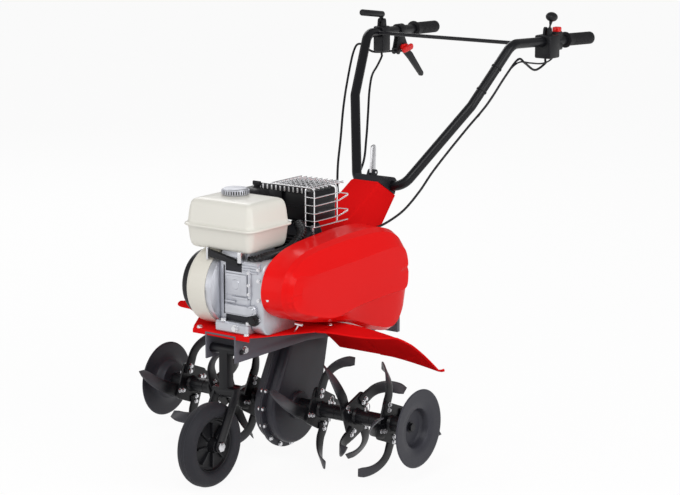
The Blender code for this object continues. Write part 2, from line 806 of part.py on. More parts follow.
def sheet_height(x, y):
    """Top of the deck and fender sheet: level in front, bending down behind and sloping outwards."""
    share = max(0.0, (y - FENDER_BEND_START) / (FENDER_REAR - FENDER_BEND_START))
    outward = max(0.0, (abs(x) - FENDER_LEVEL) / (FENDER_OUTER - FENDER_LEVEL))
    return DECK_TOP - FENDER_DROP * share ** FENDER_CURVE - FENDER_SLOPE * outward


def sheet_piece(name, rows, mirrored):
    """Sheet metal from rows of (x, y) points, thickened downwards; mirrored about the middle plane."""
    builder = bmesh.new()
    for strip in rows:
        lines = [[builder.verts.new((x, y, sheet_height(x, y))) for x, y in line] for line in strip]
        for near, far in zip(lines, lines[1:]):
            for index in range(len(near) - 1):
                builder.faces.new((near[index], near[index + 1], far[index + 1], far[index]))
    bmesh.ops.remove_doubles(builder, verts=builder.verts, dist=WELD)
    for face in builder.faces:
        if face.normal.z < 0.0:
            face.normal_flip()
    mesh = bpy.data.meshes.new(name)
    builder.normal_update()
    builder.to_mesh(mesh)
    builder.free()
    obj = add_object(name, mesh)
    if mirrored:
        mirror = obj.modifiers.new("mirror", "MIRROR")
        mirror.merge_threshold = WELD
    wall = obj.modifiers.new("sheet", "SOLIDIFY")
    wall.thickness = SHEET
    wall.offset = -1.0
    return bake(obj)


def rear_rows(front, rear=FENDER_REAR, count=FENDER_ROWS):
    """Evenly spaced y values from a front edge to the rear edge."""
    return [front + (rear - front) * step / count for step in range(count + 1)]


def build_deck():
    """Red deck plate that carries the engine, with a slot for the chain case, and its two fenders."""
    front_rows = [(DECK_FRONT, DECK_FRONT_HALF), (DECK_FLARE_Y, DECK_HALF), (SLOT_FRONT, DECK_HALF)]
    middle = [[(0.0, y), (SLOT_HALF, y)] for y, _ in front_rows]
    outer = [[(SLOT_HALF, y), (edge, y)] for y, edge in front_rows]
    outer += [[(SLOT_HALF, y), (DECK_HALF, y)] for y in rear_rows(SLOT_FRONT)[1:]]
    settle(sheet_piece("deck_plate", [middle, outer], True), RED_PAINT)
    for side, name in ((1, "left_fender"), (-1, "right_fender")):
        columns = []
        for step in range(FENDER_COLUMNS + 1):
            share = step / FENDER_COLUMNS
            inner = DECK_HALF + CLEARANCE
            x = inner + (FENDER_OUTER - inner) * share
            front = DECK_FLARE_Y + FENDER_SLANT * share + FENDER_CORNER * share ** 5
            columns.append([(side * x, y) for y in rear_rows(front)])
        settle(sheet_piece(name, [columns], False), RED_PAINT)


def build_frame():
    """Grey channel from the wheel arm to the rear hitch, with the drag bar in its socket."""
    tail_low, tail_high = HITCH_LOW + 0.008, HITCH_HIGH
    outline = [
        (FRAME_FRONT, FRAME_BOTTOM), (FRAME_FRONT, FRAME_TOP), (FRAME_TAIL_Y, FRAME_TOP),
        (FRAME_KNEE_Y, FRAME_KNEE_Z), (HITCH_Y, tail_high), (HITCH_Y, tail_low),
        (FRAME_TAIL_Y, FRAME_TAIL_Z), (FRAME_BELLY_Y, FRAME_BOTTOM),
    ]
    outline.reverse()
    inner = FRAME_HALF - FRAME_WALL
    web_low = (-FRAME_HALF, FRAME_FRONT, FRAME_TOP - FRAME_WALL)
    frame = block("main_frame", web_low, (FRAME_HALF, FRAME_WEB_REAR, FRAME_TOP))
    pieces = []
    for side in (1, -1):
        near, far = spread_x(inner, FRAME_HALF, side)
        hole = circle((ARM_PIVOT_Y, ARM_PIVOT_Z), ARM_BARREL_RADIUS / 2 + CLEARANCE, 16)
        pieces.append(plate("side", [outline, hole], near, far))
        for spacer_y in SPACER_Y:
            near_case = side * (CASE_HALF_WIDTH + CLEARANCE)
            ends = (near_case, spacer_y, SPACER_Z), (side * FRAME_HALF, spacer_y, SPACER_Z)
            pieces.append(rod("spacer", *ends, SPACER_RADIUS, 12))
    hitch_low = (-HITCH_HALF, HITCH_Y - CASE_WALL, HITCH_LOW)
    pieces.append(block("hitch", hitch_low, (HITCH_HALF, HITCH_Y + HITCH_PLATE, HITCH_HIGH)))
    socket_low = (-SOCKET_HALF, HITCH_Y - SOCKET_DEPTH, HITCH_LOW)
    pieces.append(block("socket", socket_low, (SOCKET_HALF, HITCH_Y, HITCH_HIGH)))
    frame = join(frame, *pieces)
    bar_y = HITCH_Y - SOCKET_DEPTH / 2
    slack = CLEARANCE
    half_depth = DRAG_DEPTH / 2
    slot_low = (-DRAG_HALF - slack, bar_y - half_depth - slack, HITCH_LOW - HITCH_PLATE)
    slot_high = (DRAG_HALF + slack, bar_y + half_depth + slack, HITCH_HIGH + HITCH_PLATE)
    settle(cut(frame, block("slot", slot_low, slot_high)), GREY_PAINT)
    shape = [
        (-DRAG_HALF, DRAG_HIGH), (-DRAG_HALF, DRAG_LOW + DRAG_HALF), (0.0, DRAG_LOW),
        (DRAG_HALF, DRAG_LOW + DRAG_HALF), (DRAG_HALF, DRAG_HIGH),
    ]
    sections = [[(x, bar_y + end * half_depth, z) for x, z in shape] for end in (-1, 1)]
    settle(loft("drag_bar", sections), BLACK_PAINT, (0.0, bar_y, HITCH_LOW))


def build_front_wheel():
    """Forked arm on a cross barrel, axle bolt, hub and tyre."""
    pivot = (0.0, ARM_PIVOT_Y, ARM_PIVOT_Z)
    axle = (WHEEL_Y, WHEEL_RADIUS)
    barrel_end = FRAME_HALF - FRAME_WALL - CLEARANCE
    arm = rod("wheel_arm", (-barrel_end, *pivot[1:]), (barrel_end, *pivot[1:]), ARM_BARREL_RADIUS)
    pin_end = FRAME_HALF + FRAME_WALL
    pin = rod("pin", (-pin_end, *pivot[1:]), (pin_end, *pivot[1:]), ARM_BARREL_RADIUS / 2)
    half = ARM_BARREL_RADIUS
    stem_low = (-half, ARM_PIVOT_Y - half, FORK_CROWN_Z)
    stem = block("stem", stem_low, (half, ARM_PIVOT_Y + half, ARM_PIVOT_Z))
    fork_outer = FORK_INNER + FORK_PLATE
    crown_low = (-fork_outer, ARM_PIVOT_Y - half, FORK_CROWN_Z - half / 2)
    crown = block("crown", crown_low, (fork_outer, ARM_PIVOT_Y + half, FORK_CROWN_Z + half))
    legs = []
    for side in (1, -1):
        near, far = spread_x(FORK_INNER, fork_outer, side)
        outline = band(axle, FORK_END_RADIUS, (ARM_PIVOT_Y, FORK_CROWN_Z), half)
        legs.append(plate("leg", [outline, circle(axle, AXLE_RADIUS + CLEARANCE, 16)], near, far))
    settle(join(arm, pin, stem, crown, *legs), BLACK_PAINT, pivot)

    centre = (0.0, *axle)
    head = fork_outer + CLEARANCE
    head_end = head + AXLE_RADIUS
    bolt = rod("wheel_axle", (-head_end, *axle), (head_end, *axle), AXLE_RADIUS)
    for side in (1, -1):
        bolt = join(bolt, rod("head", (side * head, *axle), (side * head_end, *axle), 2 * AXLE_RADIUS, 6))
    settle(bolt, ZINC, centre)

    half_width = TYRE_WIDTH / 2
    shoulder = 0.010
    bore = AXLE_RADIUS + CLEARANCE
    hub_radius = 0.016
    web = 0.004
    rim_half = half_width - shoulder
    hub_half = FORK_INNER - CLEARANCE
    rim = RIM_RADIUS - web
    profile = [
        (hub_radius, hub_half), (hub_radius, web), (rim, web), (rim, rim_half), (RIM_RADIUS, rim_half),
        (RIM_RADIUS, -rim_half), (rim, -rim_half), (rim, -web), (hub_radius, -web), (hub_radius, -hub_half),
        (bore, -hub_half), (bore, hub_half),
    ]
    hub = turned("wheel_hub", profile, centre, (1.0, 0.0, 0.0), sides=24, ring=True)
    settle(hub, BLACK_PLASTIC, centre)
    seat = RIM_RADIUS + CLEARANCE
    profile = [
        (seat, rim_half), (seat + shoulder, half_width), (WHEEL_RADIUS - shoulder, half_width),
        (WHEEL_RADIUS - shoulder / 4, half_width - shoulder / 2), (WHEEL_RADIUS, 0.0),
        (WHEEL_RADIUS - shoulder / 4, shoulder / 2 - half_width), (WHEEL_RADIUS - shoulder, -half_width),
        (seat + shoulder, -half_width), (seat, -rim_half),
    ]
    settle(turned("wheel_tyre", profile, centre, (1.0, 0.0, 0.0), sides=32, ring=True), RUBBER, centre)


def tilted(obj):
    """Turn a piece drawn along +Y from the crank axis onto the inclined cylinder."""
    turn = Matrix.Rotation(CYLINDER_TILT, 4, "X")
    obj.data.transform(Matrix.Translation((0.0, CRANK_Y, CRANK_Z)) @ turn)
    return obj


def barrel_room():
    """Cutter that clears everything beyond the barrel's foot for the cylinder."""
    reach = 2 * HEAD_END
    low = (-reach, BARREL_START - CLEARANCE, -FIN_HALF - CLEARANCE)
    return tilted(block("room", low, (reach, reach, reach)))


def build_engine_block():
    """Crankcase, its side cover, the finned cylinder with its head, the crankshaft and the carburettor."""
    left = CRANKCASE_LEFT
    rim_width = 0.016
    base_top = SEAT_Z + BASE_HEIGHT
    right = CRANKCASE_RIGHT + rim_width
    body_low = (right - CASE_WALL, CRANKCASE_FRONT, base_top - CASE_WALL)
    body = block("crankcase", body_low, (left, CRANKCASE_REAR, CRANKCASE_TOP), 0.012, 2)
    base_low = (right - CASE_WALL, CRANKCASE_FRONT - BASE_OVERHANG, SEAT_Z)
    base = block("base", base_low, (left, CRANKCASE_REAR, base_top), 0.004)
    crank = (CRANK_Y, CRANK_Z)
    flange = rod("flange", (CRANKCASE_RIGHT, *crank), (right, *crank), RIM_FLANGE_RADIUS, 32)
    stay_low = (right, CRANKCASE_FRONT + BASE_OVERHANG, CRANKCASE_TOP - CASE_WALL)
    stay_high = (left - BASE_OVERHANG, CRANKCASE_REAR - 2 * BASE_OVERHANG, TANK_LOW[2] - CLEARANCE)
    stay = block("stay", stay_low, stay_high)
    body = join(body, base, flange, stay)
    bore = rod("bore", (-HEAD_END, *crank), (HEAD_END, *crank), CRANK_RADIUS + CLEARANCE)
    settle(cut(body, barrel_room(), bore), ALUMINIUM)

    low = (CRANKCASE_FRONT - CASE_WALL, SEAT_Z)
    high = (CRANK_Y + SIDE_COVER_RADIUS, CRANK_Z + SIDE_COVER_RADIUS)
    outline = rounded_rectangle(low, high, SIDE_COVER_CORNER)
    hole = circle(crank, CRANK_RADIUS + CLEARANCE, 16)
    start = CRANKCASE_LEFT + CLEARANCE
    cover = plate("crankcase_cover", [outline, hole], start, SIDE_COVER_END, rounding=0.004)
    settle(cut(cover, barrel_room()), ALUMINIUM)

    low, high = CYLINDER_RIGHT, CYLINDER_LEFT
    inset = 0.008
    barrel_low = (low + inset, BARREL_START, -HEAD_HALF)
    barrel = block("cylinder", barrel_low, (high - inset, BARREL_END + CASE_WALL, HEAD_HALF))
    pieces = []
    for fin in range(int((BARREL_END - BARREL_START) / FIN_PITCH)):
        near = BARREL_START + FIN_PITCH / 2 + fin * FIN_PITCH
        pieces.append(block("fin", (low, near, -FIN_HALF), (high, near + FIN_THICKNESS, FIN_HALF)))
    pieces.append(block("head", (low, BARREL_END, -HEAD_HALF), (high, HEAD_END, HEAD_HALF), 0.004))
    rocker_low = (low + 2 * inset, HEAD_END - CASE_WALL, inset - HEAD_HALF)
    pieces.append(block("rocker", rocker_low, (high - 2 * inset, ROCKER_END, HEAD_HALF - inset), 0.008, 2))
    settle(tilted(join(barrel, *pieces)), CAST_DARK)

    carb_high = (CYLINDER_RIGHT - CLEARANCE, CARB_REAR, FILTER_LOW[2] - CLEARANCE)
    settle(block("carburettor", CARB_LOW, carb_high, 0.005), ALUMINIUM)

    end = BELT_X + PULLEY_WIDTH / 2 + CASE_WALL
    wheel_start = FLYWHEEL_X - FLYWHEEL_WIDTH / 2
    shaft = rod("crankshaft", (wheel_start - CASE_WALL, *crank), (end, *crank), CRANK_RADIUS)
    wheel_ends = (wheel_start, *crank), (wheel_start + FLYWHEEL_WIDTH, *crank)
    settle(join(shaft, rod("flywheel", *wheel_ends, FLYWHEEL_RADIUS, 32)), STEEL, (0.0, *crank))

    cap_y = CRANKCASE_FRONT - CASE_WALL - CLEARANCE
    base = (OIL_CAP_X, cap_y, OIL_CAP_Z)
    grip = OIL_CAP_LENGTH / 2
    profile = [
        (0.0, OIL_CAP_LENGTH), (OIL_CAP_RADIUS * 0.7, OIL_CAP_LENGTH), (OIL_CAP_RADIUS * 0.7, grip),
        (OIL_CAP_RADIUS, grip), (OIL_CAP_RADIUS, 0.0), (0.0, 0.0),
    ]
    settle(turned("oil_filler_cap", profile, base, (0.0, -1.0, 0.0), sides=16), BLACK_PLASTIC, base)


def build_starter():
    """Fan cover, recoil cover with its rope hole, and the pull handle on its rope."""
    place = (0.0, CRANK_Y, CRANK_Z)
    rim = -CRANKCASE_RIGHT + CLEARANCE
    face = -FAN_OUTER_X
    wall = FAN_WALL
    bend = FAN_SHOULDER * 0.3
    profile = [
        (FAN_MOUTH, face), (FAN_RADIUS - FAN_SHOULDER, face), (FAN_RADIUS - bend, face - bend),
        (FAN_RADIUS, face - FAN_SHOULDER), (FAN_RADIUS, rim), (FAN_RADIUS - wall, rim),
        (FAN_RADIUS - wall, face - FAN_SHOULDER), (FAN_RADIUS - bend - wall, face - bend - wall),
        (FAN_RADIUS - FAN_SHOULDER, face - wall), (FAN_MOUTH, face - wall),
    ]
    settle(turned("fan_cover", profile, place, (-1.0, 0.0, 0.0), sides=28, ring=True), WHITE_PAINT)

    back = face + CLEARANCE
    top = back + RECOIL_DEPTH
    profile = [
        (0.0, top), (RECOIL_RADIUS * 0.55, top), (RECOIL_RADIUS - bend, top - FAN_SHOULDER),
        (RECOIL_RADIUS, top - 1.5 * FAN_SHOULDER), (RECOIL_RADIUS, back), (RECOIL_RADIUS - wall, back),
        (RECOIL_RADIUS - wall, top - 1.5 * FAN_SHOULDER),
        (RECOIL_RADIUS - bend - wall, top - FAN_SHOULDER - wall),
        (RECOIL_RADIUS * 0.55, top - wall), (0.0, top - wall),
    ]
    cover = turned("recoil_cover", profile, place, (-1.0, 0.0, 0.0), sides=24)
    rope_z = CRANK_Z + ROPE_RISE
    exit_y = CRANK_Y + (RECOIL_RADIUS ** 2 - ROPE_RISE ** 2) ** 0.5
    hole_end = (ROPE_X, exit_y + ROPE_RISE, rope_z)
    hole = rod("hole", (ROPE_X, CRANK_Y, rope_z), hole_end, ROPE_RADIUS + 3 * CLEARANCE, 12)
    settle(cut(cover, hole), BLACK_PLASTIC)

    grip_start = CRANK_Y + RECOIL_RADIUS + ROPE_RADIUS
    start = (ROPE_X, CRANK_Y - 0.6 * ROPE_RISE, rope_z)
    rope = rod("recoil_handle", start, (ROPE_X, grip_start + ROPE_RADIUS, rope_z), ROPE_RADIUS, 8)
    half_grip = 0.024
    half_thick = 0.008
    grip_low = (ROPE_X - half_thick, grip_start, rope_z - half_grip)
    grip_high = (ROPE_X + half_thick, grip_start + 2 * half_thick, rope_z + half_grip)
    handle = join(rope, block("grip", grip_low, grip_high, 0.004, 2))
    settle(handle, BLACK_PLASTIC, (ROPE_X, grip_start, rope_z))


def slab(low, high, inset, z, corner):
    """Rounded rectangle at one height, drawn in from a box's plan."""
    radius = max(corner - inset, corner / 3)
    near = (low[0] + inset, low[1] + inset)
    far = (high[0] - inset, high[1] - inset)
    outline = rounded_rectangle(near, far, radius, 5)
    return [(x, y, z) for x, y in outline]


def build_tank():
    """Fuel tank of two pressings with a seam flange, and its cap."""
    low, high = TANK_LOW, TANK_HIGH
    half = TANK_FLANGE / 2
    seam = TANK_SEAM_Z
    body = 0.006
    levels = [
        (0.034, low[2]), (0.018, low[2] + 0.008), (body + 0.003, low[2] + 0.026), (body, seam - half),
        (0.0, seam - half), (0.0, seam + half), (body, seam + half), (body + 0.004, high[2] - 0.026),
        (body + 0.010, high[2] - 0.011), (0.026, high[2] - 0.003), (0.040, high[2]),
    ]
    sections = [slab(low, high, inset, z, TANK_CORNER) for inset, z in levels]
    settle(loft("fuel_tank", sections), WHITE_PAINT)
    base = (CAP_X, CAP_Y, high[2] + CLEARANCE)
    bevel = 0.003
    profile = [
        (0.0, CAP_HEIGHT), (CAP_RADIUS - bevel, CAP_HEIGHT), (CAP_RADIUS, CAP_HEIGHT - bevel),
        (CAP_RADIUS, bevel), (CAP_RADIUS - bevel, 0.0), (0.0, 0.0),
    ]
    settle(turned("fuel_cap", profile, base, (0.0, 0.0, 1.0), sides=28), ALUMINIUM, base)


def build_filter_and_muffler():
    """Air cleaner with its knob, muffler on the cylinder head, and the wire guard around it."""
    low, high = FILTER_LOW, FILTER_HIGH
    corner = 0.026
    levels = [
        (0.003, low[2]), (0.003, low[2] + 0.030), (0.0, low[2] + 0.031), (0.0, low[2] + 0.042),
        (0.006, high[2] - 0.030), (0.014, high[2] - 0.010), (0.026, high[2]),
    ]
    cleaner = loft("air_cleaner", [slab(low, high, inset, z, corner) for inset, z in levels])
    middle = ((low[0] + high[0]) / 2, (low[1] + high[1]) / 2)
    foot = (*middle, high[2] - CASE_WALL)
    stem = rod("stem", foot, (*middle, FILTER_KNOB_TOP), FILTER_KNOB_RADIUS / 2, 10)
    knob_start = FILTER_KNOB_TOP - FILTER_KNOB_RADIUS
    knob = rod("knob", (*middle, knob_start), (*middle, FILTER_KNOB_TOP), FILTER_KNOB_RADIUS, 10)
    settle(join(cleaner, stem, knob), BLACK_PLASTIC)

    low, high = MUFFLER_LOW, MUFFLER_HIGH
    levels = [(0.006, low[2]), (0.0, low[2] + 0.006), (0.0, high[2] - 0.006), (0.006, high[2])]
    muffler = loft("muffler", [slab(low, high, inset, z, 0.018) for inset, z in levels])
    centre_x = (low[0] + high[0]) / 2
    stub_radius, stub_y = 0.014, 0.006
    stub = rod("stub", (centre_x, stub_y, low[2] + CASE_WALL), (centre_x, stub_y, CRANK_Z), stub_radius)
    reach = 2 * HEAD_END
    head_top = HEAD_HALF + CLEARANCE
    below = tilted(block("below", (-reach, -reach, -reach), (reach, reach, head_top)))
    wall = MUFFLER_WALL
    levels = [(wall, low[2] + wall), (wall, high[2] - wall)]
    inside = loft("inside", [slab(low, high, inset + wall, z, 0.018) for inset, z in levels])
    outlet_z = high[2] - 2 * OUTLET_RADIUS
    outlet = rod("outlet", (centre_x, 0.0, outlet_z), (centre_x, 2 * high[1], outlet_z), OUTLET_RADIUS)
    settle(cut(join(muffler, stub), below, inside, outlet), BLACK_PAINT)
    build_guard()


def build_guard():
    """Wire cage over the muffler's top and outer side, open behind and below, on two short feet."""
    low = Vector(MUFFLER_LOW) - Vector((GUARD_GAP, GUARD_GAP, 0.006))
    high = Vector(MUFFLER_HIGH) + Vector((GUARD_GAP, GUARD_GAP, GUARD_GAP))
    rows, columns, bars = 4, 3, 6
    ladder = 0.028
    builder = bmesh.new()

    def wall(corner, across, up, across_count, up_count):
        grid = []
        for row in range(up_count + 1):
            line = []
            for column in range(across_count + 1):
                place = corner + across * column / across_count + up * row / up_count
                line.append(builder.verts.new(place))
            grid.append(line)
        for lower, upper in zip(grid, grid[1:]):
            for column in range(across_count):
                builder.faces.new((lower[column], lower[column + 1], upper[column + 1], upper[column]))

    height = Vector((0.0, 0.0, high.z - low.z))
    length = Vector((0.0, high.y - low.y, 0.0))
    width = Vector((high.x - low.x, 0.0, 0.0))
    wall(Vector((high.x, low.y, low.z)), length, height, columns, rows)
    wall(Vector((low.x, low.y, high.z)), width, length, bars, columns)
    wall(Vector((high.x - ladder, low.y, low.z)), Vector((ladder, 0.0, 0.0)), height, 1, rows)
    bmesh.ops.remove_doubles(builder, verts=builder.verts, dist=WELD)
    bmesh.ops.recalc_face_normals(builder, faces=builder.faces)
    mesh = bpy.data.meshes.new("muffler_guard")
    builder.to_mesh(mesh)
    builder.free()
    cage = add_object("muffler_guard", mesh)
    wires = cage.modifiers.new("wires", "WIREFRAME")
    wires.thickness = GUARD_WIRE
    wires.use_boundary = True
    wires.use_even_offset = False
    cage = bake(cage)
    row_z = low.z + height.z / rows
    for share in (1, 2):
        foot_y = low.y + length.y * share / columns
        foot_start = (MUFFLER_HIGH[0] + CLEARANCE, foot_y, row_z)
        cage = join(cage, rod("foot", foot_start, (high.x, foot_y, row_z), GUARD_WIRE * 0.45, 8))
    settle(cage, CHROME)


COVER_OUTLINE = (
    (-0.244, 0.470), (-0.222, 0.520), (-0.170, 0.549), (-0.090, 0.563), (0.040, 0.571), (0.140, 0.566),
    (0.203, 0.540), (0.227, 0.490), (0.230, 0.420), (0.222, 0.350), (0.180, 0.309), (0.100, 0.324),
    (0.010, 0.358), (-0.080, 0.376), (-0.170, 0.396), (-0.228, 0.426),
)
COVER_SPINE = ((-0.160, 0.470), (0.130, 0.445))


def cover_loop(inset, x):
    """The belt cover's outline drawn in towards its spine, at one distance out."""
    start, end = Vector(COVER_SPINE[0]), Vector(COVER_SPINE[1])
    axis = end - start
    loop = []
    for point in smooth(COVER_OUTLINE, 2, closed=True):
        edge = Vector(point)
        share = min(1.0, max(0.0, (edge - start).dot(axis) / axis.length_squared))
        place = edge.lerp(start + axis * share, inset)
        loop.append((x, place.x, place.y))
    return loop


def build_belt_cover():
    """Red shell over the belt, open towards the engine, with the pin that the idler arm turns on."""
    shoulder = COVER_BACK + COVER_SHOULDER
    depth = COVER_BACK + COVER_DEPTH
    levels = (
        (0.0, COVER_BACK), (0.02, shoulder), (0.09, shoulder + 0.6 * (depth - shoulder)),
        (0.26, depth - 0.006), (0.55, depth), (0.80, depth),
    )
    builder = bmesh.new()
    rings = []
    for inset, x in levels:
        ring = []
        for out, y, z in cover_loop(inset, x):
            swell = COVER_REAR_SWELL * (y - COVER_OUTLINE[0][0]) * (out - COVER_BACK) / COVER_DEPTH
            ring.append(builder.verts.new((out + swell, y, z)))
        rings.append(ring)
    for low, high in zip(rings, rings[1:]):
        for index in range(len(low)):
            after = (index + 1) % len(low)
            builder.faces.new((low[index], low[after], high[after], high[index]))
    builder.faces.new(rings[-1])
    bmesh.ops.recalc_face_normals(builder, faces=builder.faces)
    if max(builder.faces, key=lambda face: face.calc_center_median().x).normal.x < 0.0:
        bmesh.ops.reverse_faces(builder, faces=builder.faces)
    mesh = bpy.data.meshes.new("belt_cover")
    builder.to_mesh(mesh)
    builder.free()
    cover = add_object("belt_cover", mesh)
    wall = cover.modifiers.new("wall", "SOLIDIFY")
    wall.thickness = COVER_WALL
    wall.offset = -1.0
    cover = bake(cover)
    pin_start = (IDLER_ARM_X - CASE_WALL, IDLER_PIVOT_Y, IDLER_PIVOT_Z)
    pin_end = (depth - COVER_WALL / 2, IDLER_PIVOT_Y, IDLER_PIVOT_Z)
    settle(join(cover, rod("pin", pin_start, pin_end, IDLER_PIN_RADIUS)), RED_PAINT)


COLUMN_OUTLINE = (
    (-0.009, FRAME_TOP + CLEARANCE), (0.190, FRAME_TOP + CLEARANCE), (0.344, 0.530), (0.400, 0.593),
    (0.325, 0.637), (0.240, 0.590), (0.035, 0.478),
)


def inward(outline, distance):
    """Counter-clockwise outline drawn in by a distance."""
    count = len(outline)
    places = [Vector(point) for point in outline]
    result = []
    for index, corner in enumerate(places):
        back = (corner - places[index - 1]).normalized()
        ahead = (places[(index + 1) % count] - corner).normalized()
        normals = Vector((-back.y, back.x)), Vector((-ahead.y, ahead.x))
        miter = (normals[0] + normals[1]).normalized()
        result.append(tuple(corner + miter * distance / miter.dot(normals[0])))
    return result


def reach_height(start, through, z):
    """Point at a height on the line from one point through another."""
    share = (z - start[1]) / (through[1] - start[1])
    return start[0] + (through[0] - start[0]) * share, z


def build_column():
    """Red box column over the chain case, open below, that carries the handlebar."""
    column = plate("handle_column", [COLUMN_OUTLINE], -COLUMN_HALF, COLUMN_HALF, rounding=COLUMN_ROUNDING)
    inner = COLUMN_HALF - COLUMN_WALL
    core = inward(COLUMN_OUTLINE, COLUMN_WALL)
    core[0] = reach_height(core[-1], core[0], FRAME_BOTTOM)
    core[1] = reach_height(core[2], core[1], FRAME_BOTTOM)
    hollow = plate("hollow", [core], -inner, inner, rounding=COLUMN_ROUNDING - COLUMN_WALL)
    hole_radius = INPUT_RADIUS + CASE_WALL
    shaft_hole = rod("hole", (0.0, INPUT_Y, INPUT_Z), (2 * COLUMN_HALF, INPUT_Y, INPUT_Z), hole_radius)
    settle(cut(column, hollow, shaft_hole), RED_PAINT)

    front, rear = Vector(COLUMN_OUTLINE[4]), Vector(COLUMN_OUTLINE[3])
    along = (rear - front).normalized()
    normal = Vector((-along.y, along.x))
    tube_centre = Vector((PIVOT_Y, PIVOT_Z))
    lever = (LEVER_PIVOT_Y, LEVER_PIVOT_Z)
    lift = normal * CLEARANCE
    foot = [front + along * 0.006 + lift, rear - along * 0.002 + lift]
    ring = arc(tube_centre, SADDLE_RING, 0.0, 0.75 * pi, 8)
    outline = [tuple(foot[0]), tuple(foot[1])] + ring + [tuple(front + along * 0.006 + normal * 0.018)]
    hole = circle(tube_centre, TUBE_RADIUS + CLEARANCE, 24)
    saddle = plate("handle_saddle", [outline, hole], -SADDLE_HALF, SADDLE_HALF)
    gap = LEVER_HALF + CLEARANCE
    ears = []
    root = front + along * 0.020 + normal * 0.008
    for side in (1, -1):
        near, far = spread_x(gap, EAR_HALF, side)
        hole = circle(lever, LEVER_PIN_RADIUS + CLEARANCE, 12)
        ears.append(plate("ear", [band(tuple(root), 0.007, lever, 0.008), hole], near, far))
    lever_room = rod("room", (-gap, *lever), (gap, *lever), 0.0105, 16)
    settle(cut(join(saddle, *ears), lever_room), CAST_DARK)

    tip = (LEVER_PIVOT_Y + 0.003, LEVER_PIVOT_Z + LEVER_LENGTH)
    blade = plate("clamp_lever", [band(lever, 0.0095, tip, 0.008)], -LEVER_HALF, LEVER_HALF)
    pin = rod("pin", (-EAR_HALF, *lever), (EAR_HALF, *lever), LEVER_PIN_RADIUS, 12)
    settle(join(blade, pin), ZINC, (0.0, *lever))


def mirrored(points):
    """A path followed by its mirror image in the middle plane."""
    return list(points) + [(-x, y, z) for x, y, z in reversed(points)]


def build_handlebar():
    """Bent pipe with a thin cross rod welded between its arms, and two closed grips."""
    corners = mirrored([GRIP_END, UPPER_BEND, LEG_KNEE, (LOWER_CORNER_X, PIVOT_Y, PIVOT_Z)])
    bar = tube("handlebar", bent(corners, TUBE_BEND), TUBE_RADIUS, 2, TUBE_WALL)
    rod_end = tube_offset(CROSS_ROD_Y) - TUBE_RADIUS + TUBE_WALL / 2
    rod_z = tube_height(CROSS_ROD_Y)
    cross = rod(
        "cross", (-rod_end, CROSS_ROD_Y, rod_z), (rod_end, CROSS_ROD_Y, rod_z), CROSS_ROD_RADIUS, 10
    )
    settle(join(bar, cross), BLACK_PAINT, (0.0, PIVOT_Y, PIVOT_Z))
    for side, name in ((1, "left_grip"), (-1, "right_grip")):
        start, end = tube_place(GRIP_START_Y, side), tube_place(GRIP_END[1], side)
        length = (end - start).length
        bore = TUBE_RADIUS + CLEARANCE
        flange = 0.0045
        tip = length + CLEARANCE
        profile = [
            (0.0, tip + GRIP_CAP), (GRIP_RADIUS - flange / 2, tip + GRIP_CAP), (GRIP_RADIUS, tip),
            (GRIP_RADIUS, flange), (GRIP_RADIUS + flange, flange), (GRIP_RADIUS + flange, 0.0),
            (bore, 0.0), (bore, tip), (0.0, tip),
        ]
        settle(turned(name, profile, start, end - start, sides=16), RUBBER)


def tube_place(y, side):
    """Point on the handlebar's centre line, on one side."""
    return Vector((side * tube_offset(y), y, tube_height(y)))


def clamp_bore(y, side, length):
    """Cutter that clears the handlebar through a clamped piece."""
    along = (Vector(GRIP_END) - Vector(UPPER_BEND)).normalized()
    along.x *= side
    middle = tube_place(y, side)
    return rod("bore", middle - along * length, middle + along * length, TUBE_RADIUS + CLEARANCE, 20)


